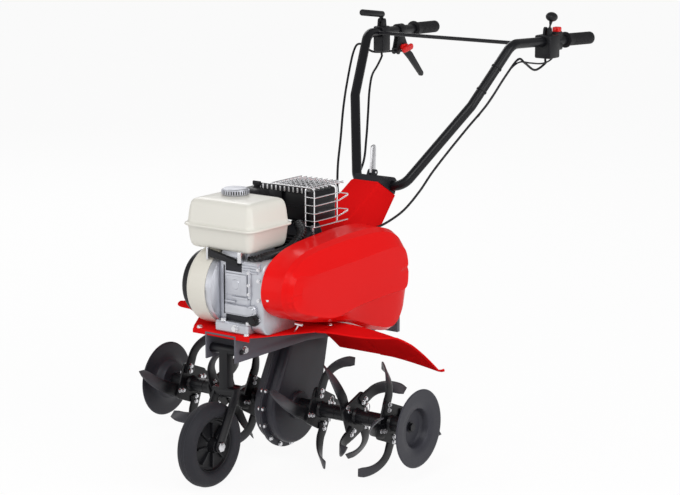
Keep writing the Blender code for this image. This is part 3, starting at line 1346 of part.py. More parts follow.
def build_clutch():
    """Bracket under the right grip with the clutch lever and its red lock."""
    x = -tube_offset(CLUTCH_Y)
    top = tube_height(CLUTCH_Y)
    clamp_radius = TUBE_RADIUS + 0.005
    front, rear = CLUTCH_Y - BRACKET_REACH, CLUTCH_Y + BRACKET_REACH
    bracket = rod("clutch_bracket", (x, front, top), (x, rear, top), clamp_radius, 20)
    gap = CLAMP_HALF / 2 - CLEARANCE
    pivot_z = top - CLUTCH_PIVOT_DROP
    pivot = (CLUTCH_PIVOT_Y, pivot_z)
    root = (CLUTCH_Y, top - clamp_radius)
    cheeks = []
    for side in (1, -1):
        near, far = x + side * gap, x + side * BRACKET_HALF
        near, far = min(near, far), max(near, far)
        lobes = [
            band(root, 0.012, pivot, 0.010),
            circle(pivot, CLUTCH_PIN_RADIUS + CLEARANCE, 12),
        ]
        cheek = plate("cheek", lobes, near, far)
        tail = [band(root, 0.010, (CLUTCH_Y - 0.014, pivot_z - 0.004), 0.008)]
        cheeks.append(join(cheek, plate("tail", tail, near, far)))
    bridge_y = CLUTCH_Y - 0.016
    bridge_low = (x - BRACKET_HALF, bridge_y - 0.006, pivot_z - 0.008)
    bridge_high = (x + BRACKET_HALF, bridge_y + 0.002, pivot_z + 0.006)
    bracket = join(bracket, *cheeks, block("bridge", bridge_low, bridge_high))
    lock_pivot = (LOCK_PIVOT_Y, top - LOCK_PIVOT_DROP)
    lock_radius = CLUTCH_PIN_RADIUS / 2 + CLEARANCE
    lock_hole = rod("hole", (x - 0.1, *lock_pivot), (x + 0.1, *lock_pivot), lock_radius, 12)
    settle(cut(bracket, clamp_bore(CLUTCH_Y, -1, 0.05), lock_hole), BLACK_PLASTIC)

    half = CLAMP_HALF / 2 - 2 * CLEARANCE
    knee = (CLUTCH_PIVOT_Y + 0.030, pivot_z - 0.022)
    tip = (CLUTCH_TIP_Y, top - CLUTCH_TIP_DROP)
    lever = plate("clutch_lever", [band(pivot, 0.009, knee, 0.010)], x - half, x + half)
    blade = plate("blade", [band(knee, 0.010, tip, 0.007)], x - half, x + half)
    pin = rod("pin", (x - BRACKET_HALF, *pivot), (x + BRACKET_HALF, *pivot), CLUTCH_PIN_RADIUS, 12)
    settle(join(lever, blade, pin), BLACK_PLASTIC, (x, *pivot))

    outer = x + BRACKET_HALF + CLEARANCE
    tab = (LOCK_PIVOT_Y + 0.018, lock_pivot[1] + 0.002)
    lock = plate("clutch_lock", [band(lock_pivot, 0.008, tab, 0.006)], outer, outer + 0.006)
    inner_end = (x + gap + 0.001, *lock_pivot)
    pin = rod("pin", inner_end, (outer + 0.003, *lock_pivot), CLUTCH_PIN_RADIUS / 2, 12)
    settle(join(lock, pin), RED_PLASTIC, (outer, *lock_pivot))


def build_throttle():
    """Left control box with the throttle lever and the stop button behind it."""
    x, z = tube_offset(THROTTLE_Y), tube_height(THROTTLE_Y)
    low = (x - BOX_HALF_X, THROTTLE_Y - BOX_HALF_Y, z - THROTTLE_BOX_LOW)
    high = (x + BOX_HALF_X, THROTTLE_Y + BOX_HALF_Y, z + THROTTLE_BOX_HIGH)
    box = block("throttle_box", low, high, 0.004, 2)
    pivot_z = z + THROTTLE_PIVOT_RISE
    half = BLADE_HALF
    gap = half + CLEARANCE
    ears = []
    pivot = (THROTTLE_Y, pivot_z)
    for side in (1, -1):
        near, far = x + side * gap, x + side * (gap + EAR_THICKNESS)
        ear = band((THROTTLE_Y, z + THROTTLE_BOX_HIGH - 0.004), EAR_ROOT_RADIUS, pivot, EAR_RADIUS)
        hole = circle(pivot, CLUTCH_PIN_RADIUS / 2 + CLEARANCE, 12)
        ears.append(plate("ear", [ear, hole], min(near, far), max(near, far)))
    stop = tube_place(STOP_Y, 1)
    seat_low = (stop.x - STOP_RADIUS - 0.004, THROTTLE_Y + BOX_HALF_Y - 0.004, stop.z - STOP_SEAT)
    seat_high = (stop.x + STOP_RADIUS + 0.004, STOP_Y + STOP_RADIUS + 0.005, stop.z + STOP_SEAT)
    box = join(box, *ears, block("seat", seat_low, seat_high, 0.003))
    seat_top = stop.z + STOP_SEAT
    pocket_ends = (stop.x, STOP_Y, seat_top - STOP_POCKET), (stop.x, STOP_Y, seat_top + STOP_POCKET)
    pocket = rod("pocket", *pocket_ends, STOP_RADIUS + CLEARANCE, 16)
    settle(cut(box, clamp_bore(THROTTLE_Y, 1, 0.1), pocket), BLACK_PLASTIC)

    knob_z = pivot_z + THROTTLE_KNOB_RISE
    tip_y, tip_z = THROTTLE_Y + THROTTLE_KNOB_BACK, knob_z - 0.010
    lever = plate("throttle_lever", [band(pivot, 0.006, (tip_y, tip_z), 0.003)], x - half, x + half)
    pin_half = gap + EAR_THICKNESS
    pin = rod("pin", (x - pin_half, *pivot), (x + pin_half, *pivot), CLUTCH_PIN_RADIUS / 2, 12)
    knob_profile = [(0.0, 0.010), (0.008, 0.008), (0.013, 0.0), (0.008, -0.008), (0.0, -0.010)]
    knob = turned("knob", knob_profile, (x, tip_y, knob_z), (0.0, -0.3, 1.0), sides=16)
    settle(join(lever, pin, knob), BLACK_PLASTIC, (x, *pivot))

    base = (stop.x, STOP_Y, seat_top - STOP_SUNK)
    profile = [
        (0.0, STOP_HEIGHT), (STOP_RADIUS * 0.7, STOP_HEIGHT), (STOP_RADIUS, STOP_HEIGHT * 0.7),
        (STOP_RADIUS, 0.0), (0.0, 0.0),
    ]
    settle(turned("stop_button", profile, base, (0.0, 0.0, 1.0), sides=16), RED_PLASTIC, base)


def build_shift():
    """Right control box under the handlebar with its cranked lever."""
    x, z = -tube_offset(SHIFT_Y), tube_height(SHIFT_Y)
    low = (x - SHIFT_BOX_HALF_X, SHIFT_Y - SHIFT_BOX_HALF_Y, z - SHIFT_BOX_LOW)
    high = (x + SHIFT_BOX_HALF_X, SHIFT_Y + SHIFT_BOX_HALF_Y, z + SHIFT_BOX_HIGH)
    box = block("shift_box", low, high, 0.004, 2)
    half = BLADE_HALF
    gap = half + CLEARANCE
    pivot = (SHIFT_Y, z + THROTTLE_PIVOT_RISE)
    ears = []
    for side in (1, -1):
        near, far = x + side * gap, x + side * (gap + EAR_THICKNESS)
        ear = band((SHIFT_Y, z + SHIFT_BOX_HIGH - 0.004), EAR_ROOT_RADIUS, pivot, EAR_RADIUS)
        hole = circle(pivot, CLUTCH_PIN_RADIUS / 2 + CLEARANCE, 12)
        ears.append(plate("ear", [ear, hole], min(near, far), max(near, far)))
    settle(cut(join(box, *ears), clamp_bore(SHIFT_Y, -1, 0.1)), BLACK_PLASTIC)

    knob_z = pivot[1] + EAR_RADIUS + SHIFT_KNOB_RADIUS + SHIFT_KNOB_GAP
    top = (SHIFT_Y - 0.006, knob_z)
    lever = plate("shift_lever", [band(pivot, 0.006, top, 0.004)], x - half, x + half)
    pin_half = gap + EAR_THICKNESS
    pin = rod("pin", (x - pin_half, *pivot), (x + pin_half, *pivot), CLUTCH_PIN_RADIUS / 2, 12)
    knob_end = (x, SHIFT_KNOB_FRONT, knob_z + SHIFT_KNOB_TILT)
    knob = rod("knob", (x, SHIFT_Y + 0.002, knob_z), knob_end, SHIFT_KNOB_RADIUS, 12)
    settle(join(lever, pin, knob), BLACK_PLASTIC, (x, *pivot))


THROTTLE_ROUTE = (
    (0.235, 0.800, 0.9145), (0.235, 0.800, 0.908), (0.235, 0.799, 0.901), (0.234, 0.750, 0.889),
    (0.234, 0.700, 0.912), (0.233, 0.668, 0.924), (0.222, 0.625, 0.884), (0.203, 0.572, 0.818),
    (0.176, 0.521, 0.760), (0.146, 0.476, 0.700), (0.126, 0.437, 0.652), (0.112, 0.402, 0.608),
    (0.098, 0.352, 0.566), (0.080, 0.300, 0.540), (0.062, 0.276, 0.530), (0.053, 0.276, 0.530),
    (0.0455, 0.276, 0.530),
)
CLUTCH_ROUTE = (
    (-0.234, 0.7925, 0.904), (-0.234, 0.786, 0.904), (-0.234, 0.779, 0.904), (-0.262, 0.730, 0.905),
    (-0.269, 0.680, 0.930), (-0.256, 0.632, 0.915), (-0.222, 0.556, 0.845), (-0.190, 0.494, 0.783),
    (-0.152, 0.430, 0.716), (-0.124, 0.380, 0.660), (-0.104, 0.350, 0.612), (-0.080, 0.322, 0.578),
    (-0.062, 0.298, 0.565), (-0.053, 0.298, 0.565), (-0.0455, 0.298, 0.565),
)
SHIFT_ROUTE = (
    (-0.225, 0.718, 0.9085), (-0.225, 0.718, 0.902), (-0.225, 0.718, 0.895), (-0.212, 0.680, 0.876),
    (-0.193, 0.628, 0.856), (-0.169, 0.582, 0.820), (-0.140, 0.535, 0.768), (-0.112, 0.488, 0.712),
    (-0.096, 0.452, 0.655), (-0.097, 0.408, 0.600), (-0.090, 0.352, 0.548), (-0.064, 0.312, 0.530),
    (-0.053, 0.312, 0.530), (-0.0455, 0.312, 0.530),
)


def build_cables():
    """Control cables from the boxes and the clutch bracket along the handlebar into the column."""
    routes = {"throttle_cable": THROTTLE_ROUTE, "clutch_cable": CLUTCH_ROUTE, "shift_cable": SHIFT_ROUTE}
    for name, route in routes.items():
        settle(tube(name, smooth(route, 2), CABLE_RADIUS), BLACK_PLASTIC)


def centre_machine():
    """Slide the machine along Y until its box is centred over the origin."""
    reach = [obj.location.y + vertex.co.y for obj in MACHINE.children for vertex in obj.data.vertices]
    MACHINE.location.y = -(min(reach) + max(reach)) / 2


def main():
    """Build every piece."""
    build_rotor()
    build_chain_case()
    build_belt_drive()
    build_deck()
    build_frame()
    build_front_wheel()
    build_engine_block()
    build_starter()
    build_tank()
    build_filter_and_muffler()
    build_belt_cover()
    build_column()
    build_handlebar()
    build_clutch()
    build_throttle()
    build_shift()
    build_cables()
    centre_machine()


clear_scene()
PARTS = bpy.data.collections.new(OBJECT_NAME)
bpy.context.scene.collection.children.link(PARTS)
MACHINE = bpy.data.objects.new("machine", None)
PARTS.objects.link(MACHINE)
RED_PAINT = make_material("red_paint", (0.80, 0.010, 0.010), 0.30)
BLACK_PAINT = make_material("black_paint", (0.010, 0.009, 0.010), 0.40)
GREY_PAINT = make_material("grey_paint", (0.105, 0.105, 0.120), 0.45)
WHITE_PAINT = make_material("white_paint", (0.84, 0.82, 0.75), 0.35)
DARK_STEEL = make_material("dark_steel", (0.055, 0.052, 0.062), 0.45, 0.3)
ALUMINIUM = make_material("aluminium", (0.48, 0.49, 0.52), 0.42, 0.9)
CAST_DARK = make_material("dark_casting", (0.030, 0.030, 0.033), 0.50, 0.4)
STEEL = make_material("steel", (0.42, 0.42, 0.43), 0.35, 1.0)
ZINC = make_material("zinc", (0.66, 0.66, 0.68), 0.28, 1.0)
CHROME = make_material("chrome", (0.80, 0.80, 0.82), 0.12, 1.0)
RUBBER = make_material("rubber", (0.018, 0.018, 0.018), 0.75)
BLACK_PLASTIC = make_material("black_plastic", (0.014, 0.014, 0.015), 0.50)
RED_PLASTIC = make_material("red_plastic", (0.72, 0.020, 0.015), 0.35)
main()
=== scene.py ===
"""Looks of the petrol tiller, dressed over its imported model.

Sizes are in metres. Pieces are drawn in the machine's own frame, whose y = 0 is the rotor axis, and
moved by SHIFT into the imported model's frame when they are finished. FIT is the clearance between fitted
pieces, and HEAD_ANGLE the angle in degrees above which edges of bolt heads stay sharp.
"""
from __future__ import annotations

import json
import logging
from dataclasses import dataclass, field
from enum import Enum
from math import acos, atan2, cos, hypot, pi, radians, sin
from typing import Callable, Iterable, Sequence

import bmesh
import bpy
from mathutils import Matrix, Vector

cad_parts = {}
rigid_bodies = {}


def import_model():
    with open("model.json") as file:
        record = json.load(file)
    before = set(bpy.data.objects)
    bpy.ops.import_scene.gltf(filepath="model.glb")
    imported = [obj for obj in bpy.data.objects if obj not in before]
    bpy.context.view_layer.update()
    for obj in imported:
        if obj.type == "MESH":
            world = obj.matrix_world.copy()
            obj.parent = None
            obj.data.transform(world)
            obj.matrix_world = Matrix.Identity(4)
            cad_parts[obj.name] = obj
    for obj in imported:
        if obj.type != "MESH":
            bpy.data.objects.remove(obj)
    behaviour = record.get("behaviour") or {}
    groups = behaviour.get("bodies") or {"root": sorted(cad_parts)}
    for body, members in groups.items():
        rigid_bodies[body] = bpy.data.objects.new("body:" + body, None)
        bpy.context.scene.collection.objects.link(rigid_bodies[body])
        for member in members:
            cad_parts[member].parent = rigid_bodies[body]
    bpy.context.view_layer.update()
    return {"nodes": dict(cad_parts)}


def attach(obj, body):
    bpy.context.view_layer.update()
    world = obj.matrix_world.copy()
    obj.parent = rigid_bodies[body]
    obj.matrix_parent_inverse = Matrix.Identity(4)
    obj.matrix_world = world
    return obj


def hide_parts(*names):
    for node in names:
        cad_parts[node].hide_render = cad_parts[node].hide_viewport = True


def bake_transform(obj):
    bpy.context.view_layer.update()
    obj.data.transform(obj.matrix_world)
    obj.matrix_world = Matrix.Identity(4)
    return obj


LOG = logging.getLogger("tiller")
SHIFT = Vector((0.0, -0.3062246, 0.0))
AXLE_Z = 0.133596
FIT = 0.0003
HEAD_ANGLE = 25.0
LEFT, RIGHT = (1.0, 0.0, 0.0), (-1.0, 0.0, 0.0)
FRONT, BACK, UP = (0.0, -1.0, 0.0), (0.0, 1.0, 0.0), (0.0, 0.0, 1.0)
Point = Sequence[float]
Place = tuple[float, float, float]
Outline = list[tuple[float, float]]
Piece = bpy.types.Object
Tree = bpy.types.NodeTree
Socket = bpy.types.NodeSocket
Feed = dict[str | int, object]


class Body(Enum):
    """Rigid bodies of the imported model."""

    CHASSIS = "chassis"
    ROTOR = "rotor"
    FRONT_ARM = "front_arm"
    FRONT_WHEEL = "front_wheel"
    BAR = "bar"
    CLAMP = "clamp"
    CLUTCH = "clutch"
    LOCK = "lock"
    THROTTLE = "throttle"
    SHIFT = "shift"
    STOP = "stop"
    CAP = "cap"
    OIL_CAP = "oil_cap"
    STARTER = "starter"
    SPUR = "spur"


@dataclass(frozen=True)
class Graph:
    """Nodes and links of one tree."""

    tree: Tree

    @classmethod
    def group(cls, name: str, kind: str, inputs: dict[str, str], outputs: dict[str, str]) -> Graph:
        """Empty node group.

        Args:
            name: Its name.
            kind: Type of its tree.
            inputs: Kinds of its input sockets by name.
            outputs: Kinds of its output sockets by name.

        Returns:
            The group's graph.
        """
        tree = bpy.data.node_groups.new(name, kind)
        for way, sockets in (("INPUT", inputs), ("OUTPUT", outputs)):
            for label, socket in sockets.items():
                tree.interface.new_socket(label, in_out=way, socket_type=f"NodeSocket{socket}")
        return cls(tree)

    def feed(self, node: bpy.types.Node, inputs: Feed) -> None:
        """Link or set a node's inputs.

        Args:
            node: The node.
            inputs: Sockets to link and values to set, by the input's name or number.
        """
        for label, value in inputs.items():
            if isinstance(value, Socket):
                self.tree.links.new(value, node.inputs[label])
            else:
                node.inputs[label].default_value = value

    def add(self, kind: str, inputs: Feed | None = None, **settings: object) -> bpy.types.Node:
        """New node.

        Args:
            kind: Its type.
            inputs: What its inputs are fed.
            settings: Its other properties.

        Returns:
            The node.
        """
        node = self.tree.nodes.new(kind)
        for label, value in settings.items():
            setattr(node, label, value)
        self.feed(node, inputs or {})
        return node

    def math(self, operation: str, *terms: object) -> Socket:
        """Result of one step of arithmetic on sockets and numbers."""
        return self.add("ShaderNodeMath", dict(enumerate(terms)), operation=operation).outputs[0]

    def vector(self, operation: str, *terms: object) -> bpy.types.Node:
        """Node of one step of vector arithmetic."""
        return self.add("ShaderNodeVectorMath", dict(enumerate(terms)), operation=operation)

    def noise(self, place: Socket, scale: object, detail: float) -> Socket:
        """Noise at a place."""
        inputs = {"Vector": place, "Scale": scale, "Detail": detail}
        return self.add("ShaderNodeTexNoise", inputs).outputs["Fac"]


class ShaderGroups:
    """Effects that several finishes share, each built once."""

    MIDDLE = 0.5
    CLOUD_DETAIL = 4.0
    RIDGE = (0.52, 0.62)
    GRAIN_DETAIL = 3.0
    PATCH_SCALE = 22.0
    PATCH_DETAIL = 5.0

    @classmethod
    def tone(cls) -> Tree:
        """Cloudy change of a colour, with a painted highlight that makes it lighter along its ridges.

        Returns:
            The node group, with Vector, Colour, Share, Scale and Edge inputs and a Colour output.
        """
        found = bpy.data.node_groups.get("tone")
        if found:
            return found
        sockets = {"Vector": "Vector", "Colour": "Color", "Share": "Float", "Scale": "Float", "Edge": "Float"}
        graph = Graph.group("tone", "ShaderNodeTree", sockets, {"Colour": "Color"})
        given = graph.add("NodeGroupInput").outputs
        noise = graph.noise(given["Vector"], given["Scale"], cls.CLOUD_DETAIL)
        cloud = graph.math("MULTIPLY", graph.math("SUBTRACT", noise, cls.MIDDLE), given["Share"])
        # Painted highlight: the colour is made lighter on sharp ridges, where light would catch them.
        shape = graph.add("ShaderNodeNewGeometry").outputs["Pointiness"]
        low, high = cls.RIDGE
        ridge = graph.add("ShaderNodeMapRange", {"Value": shape, "From Min": low, "From Max": high})
        ridge_highlight = graph.math("MULTIPLY", ridge.outputs["Result"], given["Edge"])
        gain = graph.math("ADD", graph.math("ADD", cloud, ridge_highlight), 1.0)
        tint = graph.vector("SCALE", given["Colour"])
        graph.feed(tint, {"Scale": gain})
        graph.add("NodeGroupOutput", {"Colour": tint.outputs[0]})
        return graph.tree

    @classmethod
    def grain(cls) -> Tree:
        """Fine surface grain: a height for bump, and a roughness that changes from patch to patch.

        Returns:
            The node group, with Vector, Scale, Roughness and Spread inputs.
        """
        found = bpy.data.node_groups.get("grain")
        if found:
            return found
        sockets = {"Vector": "Vector", "Scale": "Float", "Roughness": "Float", "Spread": "Float"}
        graph = Graph.group("grain", "ShaderNodeTree", sockets, {"Height": "Float", "Roughness": "Float"})
        given = graph.add("NodeGroupInput").outputs
        fine = graph.noise(given["Vector"], given["Scale"], cls.GRAIN_DETAIL)
        patch = graph.noise(given["Vector"], cls.PATCH_SCALE, cls.PATCH_DETAIL)
        centred = graph.math("SUBTRACT", patch, cls.MIDDLE)
        rough = graph.math("MULTIPLY_ADD", centred, given["Spread"], given["Roughness"])
        graph.add("NodeGroupOutput", {"Height": fine, "Roughness": rough})
        return graph.tree


@dataclass(frozen=True)
class Finish:
    """One surface finish of the machine."""

    name: str
    slot: str
    colour: Place
    roughness: float
    metallic: float = 0.0
    coat: float = 0.0
    cloud: float = 0.12
    cloud_scale: float = 7.0
    # Strength of the painted highlight that lightens ridges.
    edge: float = 0.10
    grain_scale: float = 700.0
    grain_depth: float = 0.00012
    spread: float = 0.16
    specular: float = 0.30
    worn_from: float = 0.0
    worn_run: float = 0.030
    worn_share: float = 0.55
    bare_metal: Place = (0.11, 0.11, 0.125)
    bump: float = 0.6
    coat_roughness: float = 0.08

    def material(self) -> bpy.types.Material:
        """The finish as a material, made at its first use.

        Returns:
            The material.
        """
        name = f"look_{self.name}"
        found = bpy.data.materials.get(name)
        if found:
            return found
        material = bpy.data.materials.new(name)
        material.use_nodes = True
        graph = Graph(material.node_tree)
        place = graph.add("ShaderNodeTexCoord").outputs["Object"]
        tone = graph.add("ShaderNodeGroup", {
            "Vector": place, "Colour": (*self.colour, 1.0), "Share": self.cloud, "Scale": self.cloud_scale,
            "Edge": self.edge,
        }, node_tree=ShaderGroups.tone())
        colour = tone.outputs["Colour"]
        grain = graph.add("ShaderNodeGroup", {
            "Vector": place, "Scale": self.grain_scale, "Roughness": self.roughness, "Spread": self.spread,
        }, node_tree=ShaderGroups.grain())
        bump = graph.add("ShaderNodeBump", {
            "Strength": self.bump, "Distance": self.grain_depth, "Height": grain.outputs["Height"],
        })
        graph.feed(material.node_tree.nodes["Principled BSDF"], {
            "Base Color": self._worn(graph, place, colour) if self.worn_from else colour,
            "Roughness": grain.outputs["Roughness"], "Normal": bump.outputs["Normal"],
            "Metallic": self.metallic, "Coat Weight": self.coat, "Coat Roughness": self.coat_roughness,
            "Specular IOR Level": self.specular,
        })
        return material

    def _worn(self, graph: Graph, place: Socket, colour: Socket) -> Socket:
        """Colour that wears through to metal away from the rotor axis.

        Args:
            graph: The material's graph.
            place: Socket with the object coordinates.
            colour: Socket with the paint's colour.

        Returns:
            Socket with the worn colour.
        """
        from_axis = graph.vector("SUBTRACT", place, (0.0, SHIFT.y, AXLE_Z))
        across = graph.vector("MULTIPLY", from_axis.outputs[0], (0.0, 1.0, 1.0))
        radius = graph.vector("LENGTH", across.outputs[0])
        share = graph.add("ShaderNodeMapRange", {
            "Value": radius.outputs["Value"], "From Min": self.worn_from,
            "From Max": self.worn_from + self.worn_run, "To Max": self.worn_share,
        })
        mix = graph.add("ShaderNodeMix", {
            "Factor": share.outputs["Result"], "A": colour, "B": (*self.bare_metal, 1.0),
        }, data_type="RGBA")
        return mix.outputs["Result"]


RED = Finish(
    "red_enamel", "red_paint", (0.86, 0.009, 0.009), 0.22, cloud=0.04, grain_scale=190.0, specular=0.08,
)
# Darker copy of the red paint, without reflections, for the sheet metal; its darker colour is painted shade
# for the fender undersides.
SHADED_RED = Finish("shaded_sheet_enamel", "red_paint", (0.78, 0.009, 0.010), 0.40, cloud=0.04, specular=0.0)
BLACK = Finish("black_enamel", "black_paint", (0.006, 0.006, 0.008), 0.34, edge=0.5)
BLADE = Finish("blade_enamel", "black_paint", (0.007, 0.007, 0.009), 0.38, edge=0.5, worn_from=0.088)
GREY = Finish("grey_enamel", "grey_paint", (0.108, 0.107, 0.128), 0.44, edge=0.3)
CREAM = Finish("cream_enamel", "white_tank", (0.84, 0.82, 0.75), 0.32, coat=0.1, cloud=0.03, edge=0.02)
SHROUD = Finish("cream_shroud", "white_cover", (0.82, 0.79, 0.71), 0.36, coat=0.1, cloud=0.03, edge=0.02)
CASE = Finish("case_enamel", "dark_steel", (0.034, 0.034, 0.044), 0.42, metallic=0.1, edge=0.4)
CAST = Finish(
    "cast_aluminium", "aluminium", (0.52, 0.53, 0.57), 0.42, metallic=0.75, cloud=0.30, cloud_scale=26.0,
    edge=0.35, grain_scale=520.0, grain_depth=0.0005,
)
DARK_CAST = Finish(
    "dark_casting", "dark_casting", (0.016, 0.016, 0.020), 0.52, metallic=0.2, cloud=0.25, edge=0.5,
    grain_scale=520.0, grain_depth=0.0004,
)
STEEL = Finish("machined_steel", "steel", (0.42, 0.42, 0.43), 0.34, metallic=1.0, cloud=0.2)
ZINC = Finish("zinc_plate", "zinc", (0.66, 0.66, 0.68), 0.28, metallic=1.0, cloud=0.2, cloud_scale=60.0)
WIRE = Finish("bright_wire", "chrome", (0.80, 0.80, 0.82), 0.18, metallic=1.0, cloud=0.08)
TYRE = Finish("tyre_rubber", "tyre", (0.024, 0.024, 0.030), 0.66, edge=0.4, grain_depth=0.0003)
RUBBER = Finish("grip_rubber", "rubber", (0.010, 0.010, 0.012), 0.62, edge=0.4, grain_depth=0.0003)
HOSE = Finish("hose_rubber", "rubber", (0.008, 0.008, 0.010), 0.26, coat=0.25, edge=0.8, grain_depth=0.0001)
PLASTIC = Finish("black_plastic", "black_plastic", (0.007, 0.007, 0.009), 0.46, edge=0.4, grain_scale=1400.0)
SIGNAL = Finish("red_plastic", "red_plastic", (0.85, 0.012, 0.010), 0.30, coat=0.1, cloud=0.04)


class Shop:
    """Mesh tools; each returns an object in the machine's frame."""

    WELD = 0.00001
    ON_AXIS = 1e-7
    FLAT = 1.0

    @staticmethod
    def linked(name: str, data: bpy.types.ID) -> Piece:
        """Object of some data, linked to the scene.

        Args:
            name: Object name.
            data: What it shows.

        Returns:
            The object.
        """
        obj = bpy.data.objects.new(name, data)
        bpy.context.scene.collection.objects.link(obj)
        return obj

    @classmethod
    def mesh(cls, name: str, builder: bmesh.types.BMesh, outward: bool = True, weld: bool = True) -> Piece:
        """Object of a finished bmesh.

        Args:
            name: Object name.
            builder: The bmesh, which is freed.
            outward: Whether the faces are turned outwards here.
            weld: Whether doubled corners are merged first.

        Returns:
            The linked object.
        """
        if weld:
            bmesh.ops.remove_doubles(builder, verts=builder.verts, dist=cls.WELD)
        if outward:
            bmesh.ops.recalc_face_normals(builder, faces=builder.faces)
        mesh = bpy.data.meshes.new(name)
        builder.to_mesh(mesh)
        builder.free()
        return cls.linked(name, mesh)

    @classmethod
    def bake(cls, obj: Piece, outward: bool = False) -> Piece:
        """Turn an object with modifiers, or a curve, into a plain mesh under the same name.

        Args:
            obj: The object, which is removed.
            outward: Whether the faces are turned outwards afterwards.

        Returns:
            The new object.
        """
        bpy.context.view_layer.update()
        shape = obj.evaluated_get(bpy.context.evaluated_depsgraph_get())
        mesh = bpy.data.meshes.new_from_object(shape)
        mesh.transform(obj.matrix_world)
        builder = bmesh.new()
        builder.from_mesh(mesh)
        bpy.data.meshes.remove(mesh)
        name = obj.name
        bpy.data.objects.remove(obj, do_unlink=True)
        return cls.mesh(name, builder, outward)

    @classmethod
    def rounded(cls, obj: Piece, width: float, segments: int = 2, angle: float = 38.0) -> Piece:
        """Round an object's sharp edges.

        Args:
            obj: The object, which is replaced.
            width: Width of the rounding.
            segments: Facets across it.
            angle: Least angle of an edge that is rounded, in degrees.

        Returns:
            The rounded object.
        """
        bevel = obj.modifiers.new("rounding", "BEVEL")
        bevel.width = width
        bevel.segments = segments
        bevel.limit_method = "ANGLE"
        bevel.angle_limit = radians(angle)
        return cls.bake(obj)

    @classmethod
    def thickened(cls, obj: Piece, thickness: float) -> Piece:
        """Sheet with a wall behind its faces.

        Args:
            obj: The sheet, which is replaced.
            thickness: Thickness of the wall.

        Returns:
            The thick sheet.
        """
        wall = obj.modifiers.new("wall", "SOLIDIFY")
        wall.thickness = thickness
        wall.offset = -1.0
        return cls.bake(obj)

    @classmethod
    def block(cls, low: Point, high: Point, bevel: float, segments: int = 3) -> Piece:
        """Box between two corners with rounded edges.

        Args:
            low: Lowest corner.
            high: Highest corner.
            bevel: Width of the rounding.
            segments: Facets across it.

        Returns:
            The box.
        """
        builder = bmesh.new()
        bmesh.ops.create_cube(builder, size=1.0)
        size, centre = Vector(high) - Vector(low), (Vector(high) + Vector(low)) / 2
        builder.transform(Matrix.Translation(centre) @ Matrix.Diagonal((*size, 1.0)))
        return cls.rounded(cls.mesh("block", builder), bevel, segments)

    @staticmethod
    def facing(base: Point, direction: Point) -> Matrix:
        """Matrix that carries local Z onto a direction at a base point."""
        turn = Vector(UP).rotation_difference(Vector(direction)).to_matrix().to_4x4()
        return Matrix.Translation(Vector(base)) @ turn

    @classmethod
    def rod(cls, start: Point, end: Point, radius: float, sides: int = 32, bevel: float = 0.0) -> Piece:
        """Round bar between two points, its rims rounded.

        Args:
            start: One end.
            end: The other end.
            radius: Radius of the bar.
            sides: Facets around it.
            bevel: Rounding of its rims.

        Returns:
            The bar.
        """
        length = (Vector(end) - Vector(start)).length
        edge = min(bevel, radius * 0.9, length * 0.45)
        profile = [(0.0, length), (radius - edge, length), (radius, length - edge)]
        profile += [(radius, edge), (radius - edge, 0.0), (0.0, 0.0)]
        return cls.turned(profile, start, Vector(end) - Vector(start), sides)

    @classmethod
    def turned(cls, profile: Iterable[Point], base: Point, direction: Point, sides: int = 64,
               ring: bool = False) -> Piece:
        """Turned piece.

        Args:
            profile: (radius, height) pairs.
            base: Where height 0 lies on the axis.
            direction: Direction of the axis.
            sides: Facets around it.
            ring: Whether the profile closes on itself.

        Returns:
            The piece.
        """
        builder = bmesh.new()
        rings = []
        for radius, height in profile:
            angles = [2 * pi * side / sides for side in range(sides)]
            if radius < cls.ON_AXIS:
                rings.append([builder.verts.new((0.0, 0.0, height))] * sides)
            else:
                rings.append([builder.verts.new((radius * cos(a), radius * sin(a), height)) for a in angles])
        pairs = list(zip(rings, rings[1:]))
        if ring:
            pairs.append((rings[-1], rings[0]))
        for upper, lower in pairs:
            for side in range(sides):
                after = (side + 1) % sides
                corners = [upper[side], upper[after], lower[after], lower[side]]
                corners = list(dict.fromkeys(corners))
                if len(corners) > 2:
                    builder.faces.new(corners)
        builder.transform(cls.facing(base, direction))
        return cls.mesh("turned", builder)

    @staticmethod
    def _run(curve: bpy.types.Curve, points: Sequence[Point], closed: bool) -> None:
        """Add straight runs through points to a curve.

        Args:
            curve: The curve.
            points: Corners of the run.
            closed: Whether it ends where it starts.
        """
        spline = curve.splines.new("POLY")
        spline.points.add(len(points) - 1)
        spline.use_cyclic_u = closed
        for point, place in zip(spline.points, points):
            point.co = (*place, 1.0)

    @classmethod
    def plate(cls, outlines: Iterable[Outline], start: float, end: float, rounding: float,
              resolution: int = 3) -> Piece:
        """Flat piece across X from (y, z) outlines, the later ones being holes, with rounded rims.

        Args:
            outlines: The edge, then the holes.
            start: Lowest x.
            end: Highest x.
            rounding: Rounding of the rims.
            resolution: Facets of the rounding.

        Returns:
            The plate.
        """
        curve = bpy.data.curves.new("plate", "CURVE")
        curve.dimensions = "2D"
        curve.fill_mode = "BOTH"
        curve.extrude = (end - start) / 2 - rounding
        curve.bevel_depth = rounding
        curve.bevel_resolution = resolution
        curve.offset = -rounding
        for outline in outlines:
            cls._run(curve, [(u, v, 0.0) for u, v in outline], True)
        obj = cls.linked("plate", curve)
        across = Matrix(((0, 0, 1, 0), (1, 0, 0, 0), (0, 1, 0, 0), (0, 0, 0, 1)))
        obj.matrix_world = across @ Matrix.Translation((0.0, 0.0, (start + end) / 2))
        return cls.bake(obj, outward=True)

    @classmethod
    def tube(cls, points: Iterable[Point], radius: float, resolution: int) -> Piece:
        """Round bar along points, closed at both ends.

        Args:
            points: The centre line.
            radius: Radius of the bar.
            resolution: Fineness of its section.

        Returns:
            The bar.
        """
        curve = bpy.data.curves.new("tube", "CURVE")
        curve.dimensions = "3D"
        curve.bevel_depth = radius
        curve.bevel_resolution = resolution
        curve.use_fill_caps = True
        cls._run(curve, [Vector(point) for point in points], False)
        return cls.bake(cls.linked("tube", curve), outward=True)

